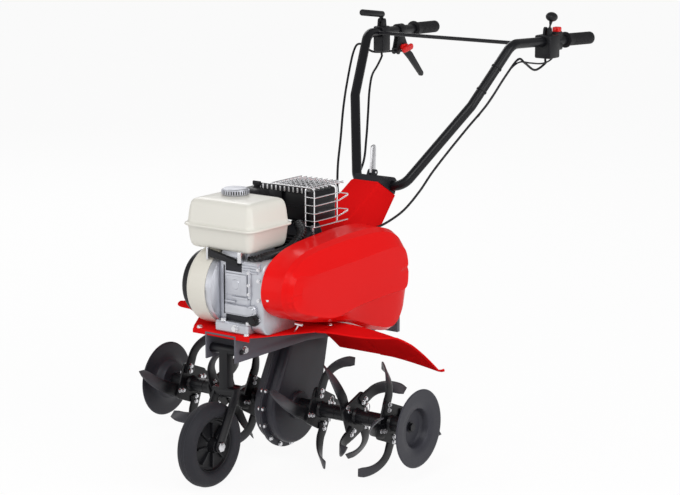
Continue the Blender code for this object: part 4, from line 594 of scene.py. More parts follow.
    @classmethod
    def swept(cls, path: Sequence[Point], radii: Sequence[float], sides: int = 20) -> Piece:
        """Round skin along a path with a radius of its own at every point.

        Args:
            path: The centre line.
            radii: Radius at each of its points.
            sides: Facets around it.

        Returns:
            The skin, closed at both ends.
        """
        places = [Vector(point) for point in path]
        up = Vector((0.3, 0.2, 1.0)).normalized()
        sections = []
        for index, (place, radius) in enumerate(zip(places, radii)):
            ahead = places[min(index + 1, len(places) - 1)] - places[max(index - 1, 0)]
            across = ahead.cross(up).normalized()
            up = across.cross(ahead).normalized()
            turns = [2 * pi * side / sides for side in range(sides)]
            sections.append([place + (across * cos(turn) + up * sin(turn)) * radius for turn in turns])
        return cls.loft(sections)

    @staticmethod
    def skin(builder: bmesh.types.BMesh,
             sections: Iterable[Iterable[Point]]) -> list[list[bmesh.types.BMVert]]:
        """Draw a skin through sections with the same number of points.

        Args:
            builder: The bmesh that gets the skin.
            sections: Points of each section.

        Returns:
            The skin's corners, section by section.
        """
        rings = [[builder.verts.new(point) for point in section] for section in sections]
        for low, high in zip(rings, rings[1:]):
            for index in range(len(low)):
                after = (index + 1) % len(low)
                builder.faces.new((low[index], low[after], high[after], high[index]))
        return rings

    @classmethod
    def loft(cls, sections: Iterable[Iterable[Point]]) -> Piece:
        """Skin through sections, capped at both ends.

        Args:
            sections: Points of each section.

        Returns:
            The closed piece.
        """
        builder = bmesh.new()
        rings = cls.skin(builder, sections)
        builder.faces.new(list(reversed(rings[0])))
        builder.faces.new(rings[-1])
        return cls.mesh("loft", builder)

    @classmethod
    def merge(cls, name: str, *pieces: Piece) -> Piece:
        """Several pieces as one object.

        Args:
            name: Object name.
            pieces: The pieces, which are removed.

        Returns:
            The object.
        """
        builder = bmesh.new()
        for piece in pieces:
            builder.from_mesh(piece.data)
            bpy.data.objects.remove(piece, do_unlink=True)
        return cls.mesh(name, builder, outward=False, weld=False)

    @classmethod
    def copy(cls, node: str, width: float, segments: int = 2) -> Piece:
        """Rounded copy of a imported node, back in the machine's frame.

        Args:
            node: The node's name.
            width: Rounding of its sharp edges.
            segments: Facets across the rounding.

        Returns:
            The copy.
        """
        builder = bmesh.new()
        builder.from_mesh(bpy.data.objects[node].data)
        bmesh.ops.remove_doubles(builder, verts=builder.verts, dist=cls.WELD)
        flat = radians(cls.FLAT)
        bmesh.ops.dissolve_limit(builder, angle_limit=flat, verts=builder.verts, edges=builder.edges)
        builder.transform(Matrix.Translation(-SHIFT))
        return cls.rounded(cls.mesh(f"{node}_copy", builder, outward=False), width, segments)


class Curves:
    """Outlines and paths."""

    @staticmethod
    def arc(centre: Point, radius: float, start: float, end: float, steps: int = 12) -> Outline:
        """Points along an arc, both ends included."""
        angles = [start + (end - start) * step / steps for step in range(steps + 1)]
        return [(centre[0] + radius * cos(a), centre[1] + radius * sin(a)) for a in angles]

    @classmethod
    def band(cls, first: Point, first_radius: float, second: Point, second_radius: float,
             steps: int = 28) -> Outline:
        """Outline that wraps two circles.

        Args:
            first: Centre of the first circle.
            first_radius: Its radius.
            second: Centre of the second circle.
            second_radius: Its radius.
            steps: Steps along each arc.

        Returns:
            The outline.
        """
        heading = atan2(second[1] - first[1], second[0] - first[0])
        spread = acos((first_radius - second_radius) / hypot(second[0] - first[0], second[1] - first[1]))
        back = cls.arc(first, first_radius, heading + spread, heading + 2 * pi - spread, steps)
        return back + cls.arc(second, second_radius, heading - spread, heading + spread, steps)

    @classmethod
    def rectangle(cls, low: Point, high: Point, radius: float, steps: int = 8) -> Outline:
        """Rectangle with round corners, counter-clockwise.

        Args:
            low: Lower corner.
            high: Upper corner.
            radius: Radius of the corners.
            steps: Steps along each corner.

        Returns:
            The outline.
        """
        centres = (
            (high[0] - radius, high[1] - radius), (low[0] + radius, high[1] - radius),
            (low[0] + radius, low[1] + radius), (high[0] - radius, low[1] + radius),
        )
        points: Outline = []
        for corner, centre in enumerate(centres):
            points += cls.arc(centre, radius, corner * pi / 2, (corner + 1) * pi / 2, steps)
        return points

    @classmethod
    def slabs(cls, low: Point, high: Point, levels: Iterable[Point], corner: float) -> list[list[Place]]:
        """Rounded rectangles up a box.

        Args:
            low: Lowest corner of the box.
            high: Highest corner of the box.
            levels: How far each rectangle is drawn in from the box's plan, and its height.
            corner: Radius of the corners where nothing is drawn in.

        Returns:
            The points of each rectangle.
        """
        sections = []
        for inset, z in levels:
            near, far = (low[0] + inset, low[1] + inset), (high[0] - inset, high[1] - inset)
            plan = cls.rectangle(near, far, max(corner - inset, corner / 3), 10)
            sections.append([(x, y, z) for x, y in plan])
        return sections

    @staticmethod
    def smooth(points: Sequence[Point], steps: int = 8, closed: bool = False) -> list[tuple[float, ...]]:
        """Catmull-Rom curve through points.

        Args:
            points: Where the curve passes.
            steps: Steps between two of them.
            closed: Whether it ends where it starts.

        Returns:
            Points along the curve.
        """
        count = len(points)
        places = [Vector(point) for point in points]
        result = []
        for index in range(count if closed else count - 1):
            if closed:
                a, b, c, d = (places[(index + shift) % count] for shift in (-1, 0, 1, 2))
            else:
                b, c = places[index], places[index + 1]
                a = places[index - 1] if index else b
                d = places[index + 2] if index + 2 < count else c
            for step in range(steps):
                t = step / steps
                bend = (2 * a - 5 * b + 4 * c - d) * t * t + (3 * b - a - 3 * c + d) * t ** 3
                result.append((2 * b + (c - a) * t + bend) / 2)
        if not closed:
            result.append(places[-1])
        return [tuple(point) for point in result]

    @staticmethod
    def bent(points: Sequence[Point], radius: float, steps: int = 14) -> list[tuple[float, ...]]:
        """Path of straight runs whose corners are rounded to a bend radius.

        Args:
            points: Ends and corners.
            radius: Bend radius.
            steps: Steps along each bend.

        Returns:
            Points along the path.
        """
        places = [Vector(point) for point in points]
        path = [places[0]]
        for before, corner, after in zip(places, places[1:], places[2:]):
            back, ahead = (before - corner).normalized(), (after - corner).normalized()
            half = back.angle(ahead) / 2
            middle = corner + (back + ahead).normalized() * radius / sin(half)
            start = corner + back * radius * cos(half) / sin(half) - middle
            end = corner + ahead * radius * cos(half) / sin(half) - middle
            sweep = start.angle(end)
            for step in range(steps + 1):
                share = step / steps
                spoke = start * sin((1 - share) * sweep) + end * sin(share * sweep)
                path.append(middle + spoke / sin(sweep))
        path.append(places[-1])
        return [tuple(point) for point in path]


class Repeats:
    """Geometry Nodes for what repeats."""

    WASHER = (28, 1.25, 0.25, 0.125)
    HEXAGON = (6, 1.0, 1.0, 0.6)

    @staticmethod
    def _start(name: str, sizes: dict[str, str]) -> Graph:
        """Empty tree with geometry, named sizes and a material as inputs, and a geometry output."""
        inputs = {"Geometry": "Geometry", **sizes, "Material": "Material"}
        return Graph.group(name, "GeometryNodeTree", inputs, {"Geometry": "Geometry"})

    @staticmethod
    def _end(graph: Graph, instances: Socket, material: Socket) -> Tree:
        """Finish a tree with real geometry in its material.

        Args:
            graph: The tree's graph.
            instances: Socket with the instances.
            material: Socket with their material.

        Returns:
            The tree.
        """
        real = graph.add("GeometryNodeRealizeInstances", {"Geometry": instances})
        shown = {"Geometry": real.outputs["Geometry"], "Material": material}
        painted = graph.add("GeometryNodeSetMaterial", shown).outputs["Geometry"]
        graph.add("NodeGroupOutput", {"Geometry": painted})
        return graph.tree

    @classmethod
    def bolts(cls) -> Tree:
        """Hexagon head on a washer at every point of a mesh.

        Returns:
            The tree, with Radius, Height, Turn and Material inputs.
        """
        found = bpy.data.node_groups.get("bolts")
        if found:
            return found
        graph = cls._start("bolts", {"Radius": "Float", "Height": "Float", "Turn": "Rotation"})
        given = graph.add("NodeGroupInput").outputs
        both = graph.add("GeometryNodeJoinGeometry")
        for sides, share, tall, lift in (cls.WASHER, cls.HEXAGON):
            disc = graph.add("GeometryNodeMeshCylinder", {
                "Vertices": sides, "Radius": graph.math("MULTIPLY", given["Radius"], share),
                "Depth": graph.math("MULTIPLY", given["Height"], tall),
            })
            offset = graph.add("ShaderNodeCombineXYZ", {"Z": graph.math("MULTIPLY", given["Height"], lift)})
            move = {"Geometry": disc.outputs["Mesh"], "Translation": offset.outputs[0]}
            graph.feed(both, {"Geometry": graph.add("GeometryNodeTransform", move).outputs["Geometry"]})
        spread = graph.add("GeometryNodeInstanceOnPoints", {
            "Points": given["Geometry"], "Instance": both.outputs["Geometry"], "Rotation": given["Turn"],
        })
        return cls._end(graph, spread.outputs["Instances"], given["Material"])

    @classmethod
    def bars(cls) -> Tree:
        """Row of equal bars around a circle, each lying along the circle's axis.

        Returns:
            The tree, with Count, Radius, Size and Material inputs.
        """
        found = bpy.data.node_groups.get("bars")
        if found:
            return found
        graph = cls._start("bars", {"Count": "Int", "Radius": "Float", "Size": "Vector"})
        given = graph.add("NodeGroupInput").outputs
        circle = graph.add("GeometryNodeMeshCircle", {"Vertices": given["Count"], "Radius": given["Radius"]})
        bar = graph.add("GeometryNodeMeshCube", {"Size": given["Size"]})
        place = graph.add("GeometryNodeInputPosition").outputs["Position"]
        align = graph.add("FunctionNodeAlignRotationToVector", {"Vector": place}, axis="X", pivot_axis="Z")
        spread = graph.add("GeometryNodeInstanceOnPoints", {
            "Points": circle.outputs["Mesh"], "Instance": bar.outputs["Mesh"],
            "Rotation": align.outputs["Rotation"],
        })
        return cls._end(graph, spread.outputs["Instances"], given["Material"])

    @staticmethod
    def apply(points: Iterable[Point], tree: Tree, values: dict[str, object]) -> Piece:
        """Run a tree on a cloud of points.

        Args:
            points: Where its instances stand.
            tree: The tree.
            values: Its inputs by name.

        Returns:
            The resulting mesh object.
        """
        mesh = bpy.data.meshes.new("points")
        mesh.from_pydata([tuple(point) for point in points], [], [])
        obj = Shop.linked("points", mesh)
        modifier = obj.modifiers.new("repeats", "NODES")
        modifier.node_group = tree
        for item in tree.interface.items_tree:
            if item.in_out == "INPUT" and item.name in values:
                modifier[item.identifier] = values[item.name]
        return Shop.bake(obj)

    @classmethod
    def bolt_heads(cls, points: Iterable[Point], direction: Point, radius: float, height: float,
                   finish: Finish) -> Piece:
        """Bolt heads at points, all facing one way.

        Args:
            points: Where they stand.
            direction: The way they face.
            radius: Radius of a head.
            height: Height of a head.
            finish: Their finish.

        Returns:
            The heads.
        """
        turn = Vector(UP).rotation_difference(Vector(direction)).to_euler()
        values = {"Radius": radius, "Height": height, "Turn": turn, "Material": finish.material()}
        return cls.apply(points, cls.bolts(), values)

    @classmethod
    def ring(cls, count: int, radius: float, size: Point, base: Point, direction: Point,
             finish: Finish) -> Piece:
        """Bars around an axis through a base point.

        Args:
            count: Number of bars.
            radius: Their distance from the axis.
            size: Size of a bar.
            base: A point on the axis.
            direction: Direction of the axis.
            finish: Their finish.

        Returns:
            The bars.
        """
        values = {"Count": count, "Radius": radius, "Size": tuple(size), "Material": finish.material()}
        obj = cls.apply([(0.0, 0.0, 0.0)], cls.bars(), values)
        obj.data.transform(Shop.facing(base, direction))
        return obj


def paint(obj: Piece, name: str, finish: Finish, angle: float) -> None:
    """Give a piece its name, material, place and shading.

    Args:
        obj: The piece in the machine's frame.
        name: Its name.
        finish: Its finish.
        angle: Edges sharper than this stay sharp, in degrees.
    """
    obj.name = name
    mesh = obj.data
    mesh.name = name
    mesh.materials.clear()
    mesh.materials.append(finish.material())
    mesh.transform(Matrix.Translation(SHIFT))
    mesh.shade_smooth()
    mesh.set_sharp_from_angle(angle=radians(angle))


def dress(name: str, finish: Finish, body: Body, *pieces: Piece, node: str = "", angle: float = 35.0) -> None:
    """Join pieces to one, finish it and put it on its body.

    Args:
        name: Its name.
        finish: Its finish.
        body: The body it moves with.
        pieces: The pieces in the machine's frame.
        node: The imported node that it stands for, if any.
        angle: Edges sharper than this stay sharp, in degrees.
    """
    obj = Shop.merge(name, *pieces)
    paint(obj, name, finish, angle)
    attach(obj, body.value)
    if node:
        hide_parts(node)
    LOG.info("%s rides on %s", name, body.value)


def stand_in(node: str, finish: Finish, body: Body, *pieces: Piece, angle: float = 35.0) -> None:
    """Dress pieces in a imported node's place."""
    dress(f"{node}_fine", finish, body, *pieces, node=node, angle=angle)


def dress_copy(node: str, finish: Finish, body: Body, width: float, segments: int = 2) -> None:
    """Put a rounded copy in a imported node's place."""
    stand_in(node, finish, body, Shop.copy(node, width, segments))


def fasten(name: str, body: Body, *heads: Piece) -> None:
    """Dress bolt heads and their like as one plated piece on a body."""
    dress(name, ZINC, body, *heads, angle=HEAD_ANGLE)


@dataclass
class Studio:
    """Camera, lights, floor and world."""

    target: Place = (-0.1469, 0.4210, 0.4304)
    eye: Place = (3.1262, -4.0859, 1.5826)
    right: Place = (0.8090, 0.5877, 0.0)
    lens: float = 115.79
    sensor: float = 36.0
    lamp_aim: Place = (0.0, -0.2, 0.45)
    lamps: tuple[tuple[str, Place, float, float], ...] = (
        ("key", (1.6, -3.2, 3.4), 62.0, 2.2), ("fill", (4.2, -0.6, 2.0), 58.0, 2.6),
        ("rim", (-3.0, 2.2, 2.8), 36.0, 2.0), ("front", (-2.2, -3.6, 1.6), 24.0, 2.4),
    )
    floor_size: float = 60.0
    floor_drop: float = 0.0004
    floor_grey: float = 0.90
    floor_roughness: float = 0.9
    floor_specular: float = 0.1
    backdrop_share: float = 0.90
    backdrop_strength: float = 1.025
    surround: float = 0.36

    def build(self) -> None:
        """Make the whole set."""
        self._camera()
        self._lights()
        self._floor()
        self._world()

    def _camera(self) -> None:
        """Camera at the photograph's viewing angle."""
        data = bpy.data.cameras.new("camera")
        data.sensor_width = self.sensor
        data.lens = self.lens
        camera = Shop.linked("camera", data)
        back = (Vector(self.eye) - Vector(self.target)).normalized()
        right = Vector(self.right).normalized()
        turn = Matrix((right, back.cross(right), back)).transposed().to_4x4()
        camera.matrix_world = Matrix.Translation(Vector(self.eye) + SHIFT) @ turn
        bpy.context.scene.camera = camera

    def _lights(self) -> None:
        """Soft key, fill, rim and front lights."""
        for name, place, power, size in self.lamps:
            data = bpy.data.lights.new(name, "AREA")
            data.energy = power
            data.size = size
            lamp = Shop.linked(name, data)
            lamp.location = place
            aim = Vector(self.lamp_aim) - Vector(place)
            lamp.rotation_euler = aim.to_track_quat("-Z", "Y").to_euler()

    def _floor(self) -> None:
        """Pale floor that keeps the machine's shadow."""
        builder = bmesh.new()
        bmesh.ops.create_grid(builder, x_segments=1, y_segments=1, size=self.floor_size)
        floor = Shop.mesh("floor", builder)
        floor.data.transform(Matrix.Translation((0.0, 0.0, -self.floor_drop)))
        material = bpy.data.materials.new("pale_floor")
        material.use_nodes = True
        graph, nodes = Graph(material.node_tree), material.node_tree.nodes
        shader, grey = nodes["Principled BSDF"], self.floor_grey
        graph.feed(shader, {
            "Base Color": (grey, grey, grey, 1.0), "Roughness": self.floor_roughness,
            "Specular IOR Level": self.floor_specular,
        })
        share = graph.math("MULTIPLY", self._seen(graph), self.backdrop_share)
        white = graph.add("ShaderNodeEmission", {"Strength": self.backdrop_strength})
        mix = graph.add("ShaderNodeMixShader", {"Fac": share, 1: shader.outputs[0], 2: white.outputs[0]})
        graph.feed(nodes["Material Output"], {"Surface": mix.outputs[0]})
        floor.data.materials.append(material)

    @staticmethod
    def _seen(graph: Graph) -> Socket:
        """Socket that is 1 for camera, glossy and transmission rays.

        Args:
            graph: The floor's graph.

        Returns:
            The socket.
        """
        path = graph.add("ShaderNodeLightPath").outputs
        total = path["Is Camera Ray"]
        for label in ("Is Glossy Ray", "Is Transmission Ray"):
            total = graph.math("MAXIMUM", total, path[label])
        return total

    def _world(self) -> None:
        """White surround that lights softly."""
        world = bpy.data.worlds.new("studio")
        bpy.context.scene.world = world
        world.use_nodes = True
        graph = Graph(world.node_tree)
        seen = graph.add("ShaderNodeLightPath").outputs["Is Camera Ray"]
        strength = graph.add("ShaderNodeMapRange", {"Value": seen, "To Min": self.surround, "To Max": 1.0})
        graph.feed(world.node_tree.nodes["Background"], {
            "Color": (1.0, 1.0, 1.0, 1.0), "Strength": strength.outputs["Result"],
        })
        bpy.context.scene.view_settings.view_transform = "Standard"


@dataclass
class Rotor:
    """Tine sets with their bolts and pins, and the outer discs."""

    axle_z: float = AXLE_Z
    hubs: tuple[float, ...] = (0.100, 0.205, 0.305)
    names: tuple[str, ...] = ("inner", "middle", "outer")
    hub_plate: float = 0.092
    hub_corner: float = 0.012
    hub_thickness: float = 0.006
    rounding: float = 0.0008
    sleeve_radius: float = 0.018
    sleeve_bore: float = 0.0128
    sleeve_start: float = 0.0415
    weld_rise: float = 0.004
    weld_sink: float = 0.002
    weld_half: float = 0.009
    shaft_end: float = 0.358
    reach: float = 0.130
    root: float = 0.034
    root_width: float = 0.036
    tip_width: float = 0.026
    tip_start: float = 0.93
    tip_run: float = 0.07
    tip_narrowing: float = 0.25
    tip_thinning: float = 0.5
    thickness: float = 0.005
    sink: float = 0.0006
    sweep: float = radians(40)
    bend: float = 0.054
    bend_start: float = 0.42
    bend_turn: float = radians(78)
    stagger: float = radians(-42)
    tip_phase: float = radians(-28)
    blades: int = 4
    steps: int = 30
    bolt_shares: tuple[float, ...] = (0.03, 0.20)
    bolt_radius: float = 0.0046
    bolt_height: float = 0.0042
    bolt_sink: float = 0.0004
    nut_height: float = 0.0046
    pin_offset: float = 0.030
    pin_half: float = 0.026
    pin_radius: float = 0.0035
    clip_radius: float = 0.0105
    clip_wire: float = 0.0011
    disc_x: float = 0.383
    disc_radius: float = 0.0937
    cup_radius: float = 0.046
    cup_depth: float = 0.022
    sheet: float = 0.003

    def build(self) -> None:
        """Build the tine sets and the discs."""
        for side, side_name in ((1, "left"), (-1, "right")):
            for index, name in enumerate(self.names):
                self._tine_set(f"{side_name}_{name}_tines", index, side)
            self._disc(f"{side_name}_disc", side)

    def _point(self, share: float, phase: float, side: int) -> Vector:
        """Point on a blade's centre line about the rotor axis.

        Args:
            share: How far along the blade, from 0 to 1.
            phase: Angle of its tip.
            side: The side it bends to.

        Returns:
            The point.
        """
        angle = phase + self.sweep * (1.0 - share)
        curl = self.bend_turn * max(0.0, (share - self.bend_start) / (1.0 - self.bend_start))
        bend_radius = self.bend / (1.0 - cos(self.bend_turn))
        bend_root = self.reach - bend_radius * sin(self.bend_turn)
        straight = min(share / self.bend_start, 1.0)
        radius = self.root + (bend_root - self.root) * straight + bend_radius * sin(curl)
        seat = (self.hub_thickness + self.thickness) / 2 - self.sink
        across = side * (seat + bend_radius * (1.0 - cos(curl)))
        return Vector((across, radius * cos(angle), radius * sin(angle)))

    def _blade(self, phase: float, side: int, hub_x: float) -> Piece:
        """One blade with ground edges, thin towards its leading edge.

        Args:
            phase: Angle of its tip.
            side: The side it bends to.
            hub_x: Where the hub plate stands.

        Returns:
            The blade.
        """
        corners = ((-1.0, -0.25), (-0.9, -0.7), (-0.6, -1.0), (0.6, -1.0), (0.9, -0.7), (1.0, -0.25))
        corners += tuple((a, -b) for a, b in reversed(corners))
        sections = []
        for step in range(self.steps + 1):
            share = step / self.steps
            centre = self._point(share, phase, side)
            ahead, behind = self._point(share + 0.01, phase, side), self._point(share - 0.01, phase, side)
            along = (ahead - behind).normalized()
            across = Vector(LEFT).cross(along).normalized()
            face = along.cross(across)
            tip = max(0.0, (share - self.tip_start) / self.tip_run)
            half_width = (self.root_width + (self.tip_width - self.root_width) * share) / 2
            half_width *= 1.0 - self.tip_narrowing * tip
            half_thick = self.thickness / 2 * (1.0 - self.tip_thinning * tip)
            middle = centre + Vector((hub_x, 0.0, self.axle_z))
            sections.append([middle + across * half_width * a + face * half_thick * b for a, b in corners])
        return Shop.loft(sections)

    def _tine_set(self, name: str, index: int, side: int) -> None:
        """Sleeve, hub plate and blades, with the bolts and the pin that hold them.

        Args:
            name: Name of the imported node.
            index: Place along the shaft.
            side: 1 for left, -1 for right.
        """
        start = self.sleeve_start if index == 0 else (self.hubs[index - 1] + self.hubs[index]) / 2
        last = index + 1 == len(self.hubs)
        end = self.shaft_end - FIT if last else (self.hubs[index] + self.hubs[index + 1]) / 2 - FIT
        low, high = sorted((start * side, end * side))
        hub_x = self.hubs[index] * side
        phase = self.tip_phase + self.stagger * index
        blades, points = [], {1: [], -1: []}
        for blade in range(self.blades):
            face = (1 if blade % 2 else -1) * side
            angle = phase + blade * pi / 2
            blades.append(self._blade(angle, face, hub_x))
            for share in self.bolt_shares:
                bolt = self._point(share, angle, face) + Vector((hub_x, 0.0, self.axle_z))
                bolt.x = hub_x + face * (self.hub_thickness / 2 + self.thickness - self.bolt_sink)
                points[face].append(bolt)
        parts = (*self._sleeve(low, high, hub_x), self._hub(hub_x, phase), *blades)
        stand_in(name, BLADE, Body.ROTOR, *parts)
        self._bolts(name, points)
        self._pin(name, (low + high) / 2 + side * self.pin_offset)

    def _sleeve(self, low: float, high: float, hub_x: float) -> tuple[Piece, Piece]:
        """Sleeve between two places on the shaft, and the weld around it at its hub plate.

        Args:
            low: Where the sleeve starts.
            high: Where it ends.
            hub_x: Where the hub plate stands.

        Returns:
            The sleeve and the weld.
        """
        axis, lip, length = (0.0, self.axle_z), self.rounding, high - low
        radius, bore = self.sleeve_radius, self.sleeve_bore
        profile = [
            (radius - lip, length), (radius, length - lip), (radius, lip), (radius - lip, 0.0),
            (bore, 0.0), (bore, length),
        ]
        sleeve = Shop.turned(profile, (low, *axis), LEFT, 48, ring=True)
        sunk, half = radius - self.weld_sink, self.weld_half
        bead = [(radius + self.weld_rise, 0.0), (radius, half), (sunk, half), (sunk, -half), (radius, -half)]
        return sleeve, Shop.turned(bead, (hub_x, *axis), LEFT, 48, ring=True)

    def _hub(self, hub_x: float, phase: float) -> Piece:
        """Square hub plate, turned to its blades.

        Args:
            hub_x: Where the hub plate stands.
            phase: Angle of the first blade.

        Returns:
            The plate.
        """
        half, thick = self.hub_plate / 2, self.hub_thickness / 2
        square = Curves.rectangle((-half, -half), (half, half), self.hub_corner)
        hub = Shop.plate([square], -thick, thick, self.rounding)
        hub.data.transform(Matrix.Translation((hub_x, 0.0, self.axle_z)) @ Matrix.Rotation(phase, 4, "X"))
        return hub

    def _bolts(self, name: str, points: dict[int, list[Vector]]) -> None:
        """Bolt heads on the blades, and their nuts behind the hub plate.

        Args:
            name: Name of the tine set.
            points: Places of the heads, by the way they face.
        """
        heads, radius = [], self.bolt_radius
        through = self.hub_thickness + self.thickness - 2 * self.bolt_sink
        for face, places in points.items():
            heads.append(Repeats.bolt_heads(places, (face, 0.0, 0.0), radius, self.bolt_height, ZINC))
            nuts = [place - Vector((face * through, 0.0, 0.0)) for place in places]
            heads.append(Repeats.bolt_heads(nuts, (-face, 0.0, 0.0), radius, self.nut_height, ZINC))
        fasten(f"{name}_bolts", Body.ROTOR, *heads)

    def _pin(self, name: str, x: float) -> None:
        """Pin through sleeve and shaft, with its ring clip.

        Args:
            name: Name of the tine set.
            x: Where the pin stands.
        """
        ends = (x, 0.0, self.axle_z - self.pin_half), (x, 0.0, self.axle_z + self.pin_half)
        pin = Shop.rod(*ends, self.pin_radius, 20, 0.0006)
        wire, turns = self.clip_wire, [2 * pi * step / 10 for step in range(10)]
        profile = [(self.clip_radius + wire * cos(turn), wire * sin(turn)) for turn in turns]
        clip = Shop.turned(profile, (x, 0.010, self.axle_z + 0.0235), (1.0, 0.25, 0.0), 32, ring=True)
        dress(f"{name}_pin", ZINC, Body.ROTOR, pin, clip)

    def _disc(self, name: str, side: int) -> None:
        """Dished disc with a rolled rim and a bolt in its cup.

        Args:
            name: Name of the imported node.
            side: 1 for left, -1 for right.
        """
        face, outer, cup, sheet = self.disc_x, self.disc_radius, self.cup_radius, self.sheet
        floor = face - self.cup_depth - sheet + FIT
        top, edge = floor + sheet, face + 0.004
        profile = [
            (0.0, top), (cup - 0.010, top), (cup - 0.005, top + 0.002), (cup - 0.002, top + 0.007),
            (cup, face - 0.004), (cup + 0.004, face), (0.070, face + 0.0018),
            (outer - 0.006, edge - 0.0006), (outer - 0.002, edge - 0.0004), (outer, edge - 0.0016),
            (outer - 0.001, edge - sheet), (outer - 0.006, edge - sheet - 0.0004), (0.070, face - 0.0012),
            (cup + 0.006, face - sheet), (cup + 0.003, face - 0.006), (cup + 0.001, top + 0.006),
            (cup - 0.003, floor + 0.0006), (cup - 0.008, floor), (0.0, floor),
        ]
        disc = Shop.turned(profile, (0.0, 0.0, self.axle_z), (side, 0.0, 0.0), 96)
        stand_in(name, CASE, Body.ROTOR, disc, angle=50.0)
        bolt = Repeats.bolt_heads([(side * top, 0.0, self.axle_z)], (side, 0.0, 0.0), 0.0100, 0.0075, BLACK)
        dress(f"{name}_bolt", BLACK, Body.ROTOR, bolt, angle=HEAD_ANGLE)


@dataclass
class ChainCase:
    """Two pressed halves bolted together around their flange."""

    low: tuple[float, float] = (0.0, AXLE_Z)
    top: tuple[float, float] = (0.115, 0.440)
    low_radius: float = 0.108
    top_radius: float = 0.064
    flange: float = 0.013
    flange_thickness: float = 0.004
    half_width: float = 0.032
    parting: float = 0.00015
    cut: float = 0.0002
    boss_start: float = 0.028
    boss_end: float = 0.0405
    boss_radius: float = 0.034
    bolts: int = 16
    bolt_inset: float = 0.0005

    def build(self) -> None:
        """Build both halves and the flange bolts."""
        for side, name in ((1, "chain_case_left"), (-1, "chain_case_right")):
            near, far = sorted((side * self.parting, side * self.flange_thickness))
            rim = Shop.plate([self._band(0.0)], near, far, 0.0009)
            pan = Shop.plate([self._band(self.flange)], -self.half_width, self.half_width, 0.009, 5)
            half = self._half(pan, side)
            bosses = []
            for place in (self.low, self.top):
                ends = (side * self.boss_start, *place), (side * self.boss_end, *place)
                bosses.append(Shop.rod(*ends, self.boss_radius, 64, 0.003))
            stand_in(name, CASE, Body.CHASSIS, rim, half, *bosses)
        line = self._band(self.flange / 2 - self.bolt_inset)
        points = [line[int(len(line) * step / self.bolts)] for step in range(self.bolts)]
        outer = self.flange_thickness - FIT
        heads = []
        for side in (1, -1):
            places = [(side * outer, y, z) for y, z in points]
            heads.append(Repeats.bolt_heads(places, (side, 0.0, 0.0), 0.0050, 0.0042, ZINC))
        fasten("chain_case_bolts", Body.CHASSIS, *heads)

    def _band(self, inset: float) -> Outline:
        """Outline of the case, drawn in."""
        return Curves.band(self.low, self.low_radius - inset, self.top, self.top_radius - inset, 40)

    def _half(self, pan: Piece, side: int) -> Piece:
        """The part of a pan on one side of the middle plane.

        Args:
            pan: The pan, which is removed.
            side: 1 for left, -1 for right.

        Returns:
            The half.
        """
        builder = bmesh.new()
        builder.from_mesh(pan.data)
        geometry = builder.verts[:] + builder.edges[:] + builder.faces[:]
        cut_at, away = (side * self.cut, 0.0, 0.0), (-side, 0.0, 0.0)
        bmesh.ops.bisect_plane(builder, geom=geometry, plane_co=cut_at, plane_no=away, clear_outer=True)
        bpy.data.objects.remove(pan, do_unlink=True)
        return Shop.mesh("half", builder, outward=False)


@dataclass
class FrontWheel:
    """Tyre, hub and fork of the transport wheel."""

    centre: Place = (0.0, -0.300, 0.100)
    radius: float = 0.100
    width: float = 0.045
    rim: float = 0.064
    grooves: tuple[float, ...] = (0.0045, -0.0045)
    groove_depth: float = 0.0022
    web: float = 0.004
    hub: float = 0.016
    hub_half: float = 0.0262
    bore: float = 0.0063

    def build(self) -> None:
        """Build the wheel and round the fork."""
        self._tyre()
        self._hub()
        dress_copy("wheel_arm", BLACK, Body.FRONT_ARM, 0.0014)
        dress_copy("wheel_axle", ZINC, Body.FRONT_ARM, 0.0006)

    def _tyre(self) -> None:
        """Tyre with two grooves around its tread."""
        half, outer, seat = self.width / 2, self.radius, self.rim + FIT
        side = [
            (seat, half - 0.010), (seat + 0.003, half - 0.005), (seat + 0.007, half - 0.002), (0.078, half),
            (0.086, half), (0.0905, half - 0.0012), (0.0915, half - 0.0022), (0.0945, half - 0.0045),
            (0.0975, half - 0.009), (0.0990, half - 0.013), (outer - 0.0002, half - 0.017),
            (outer, half - 0.019),
        ]
        tread, floor = [], outer - self.groove_depth
        for height in self.grooves:
            tread += [(outer, height + 0.0016), (floor, height + 0.0010), (floor, height - 0.0010)]
            tread += [(outer, height - 0.0016)]
        profile = side + tread + [(r, -h) for r, h in reversed(side)]
        tyre = Shop.turned(profile, self.centre, LEFT, 112, ring=True)
        stand_in("wheel_tyre", TYRE, Body.FRONT_WHEEL, tyre, angle=48.0)

    def _hub(self) -> None:
        """Moulded hub with ribs on its web."""
        rim, web, hub, rim_half = self.rim, self.web, self.hub, self.width / 2 - 0.010
        side = [
            (self.bore, self.hub_half), (hub - 0.001, self.hub_half), (hub, self.hub_half - 0.001),
            (hub + 0.002, web + 0.004), (hub + 0.006, web + 0.001), (rim - 0.012, web),
            (rim - 0.006, web + 0.002), (rim - 0.004, web + 0.005), (rim - 0.003, rim_half - 0.001),
            (rim - 0.0005, rim_half),
        ]
        profile = side + [(r, -h) for r, h in reversed(side)]
        disc = Shop.turned(profile, self.centre, LEFT, 96, ring=True)
        ribs = Repeats.ring(8, 0.036, (0.034, 0.0035, 0.022), self.centre, LEFT, PLASTIC)
        stand_in("wheel_hub", PLASTIC, Body.FRONT_WHEEL, disc, ribs)


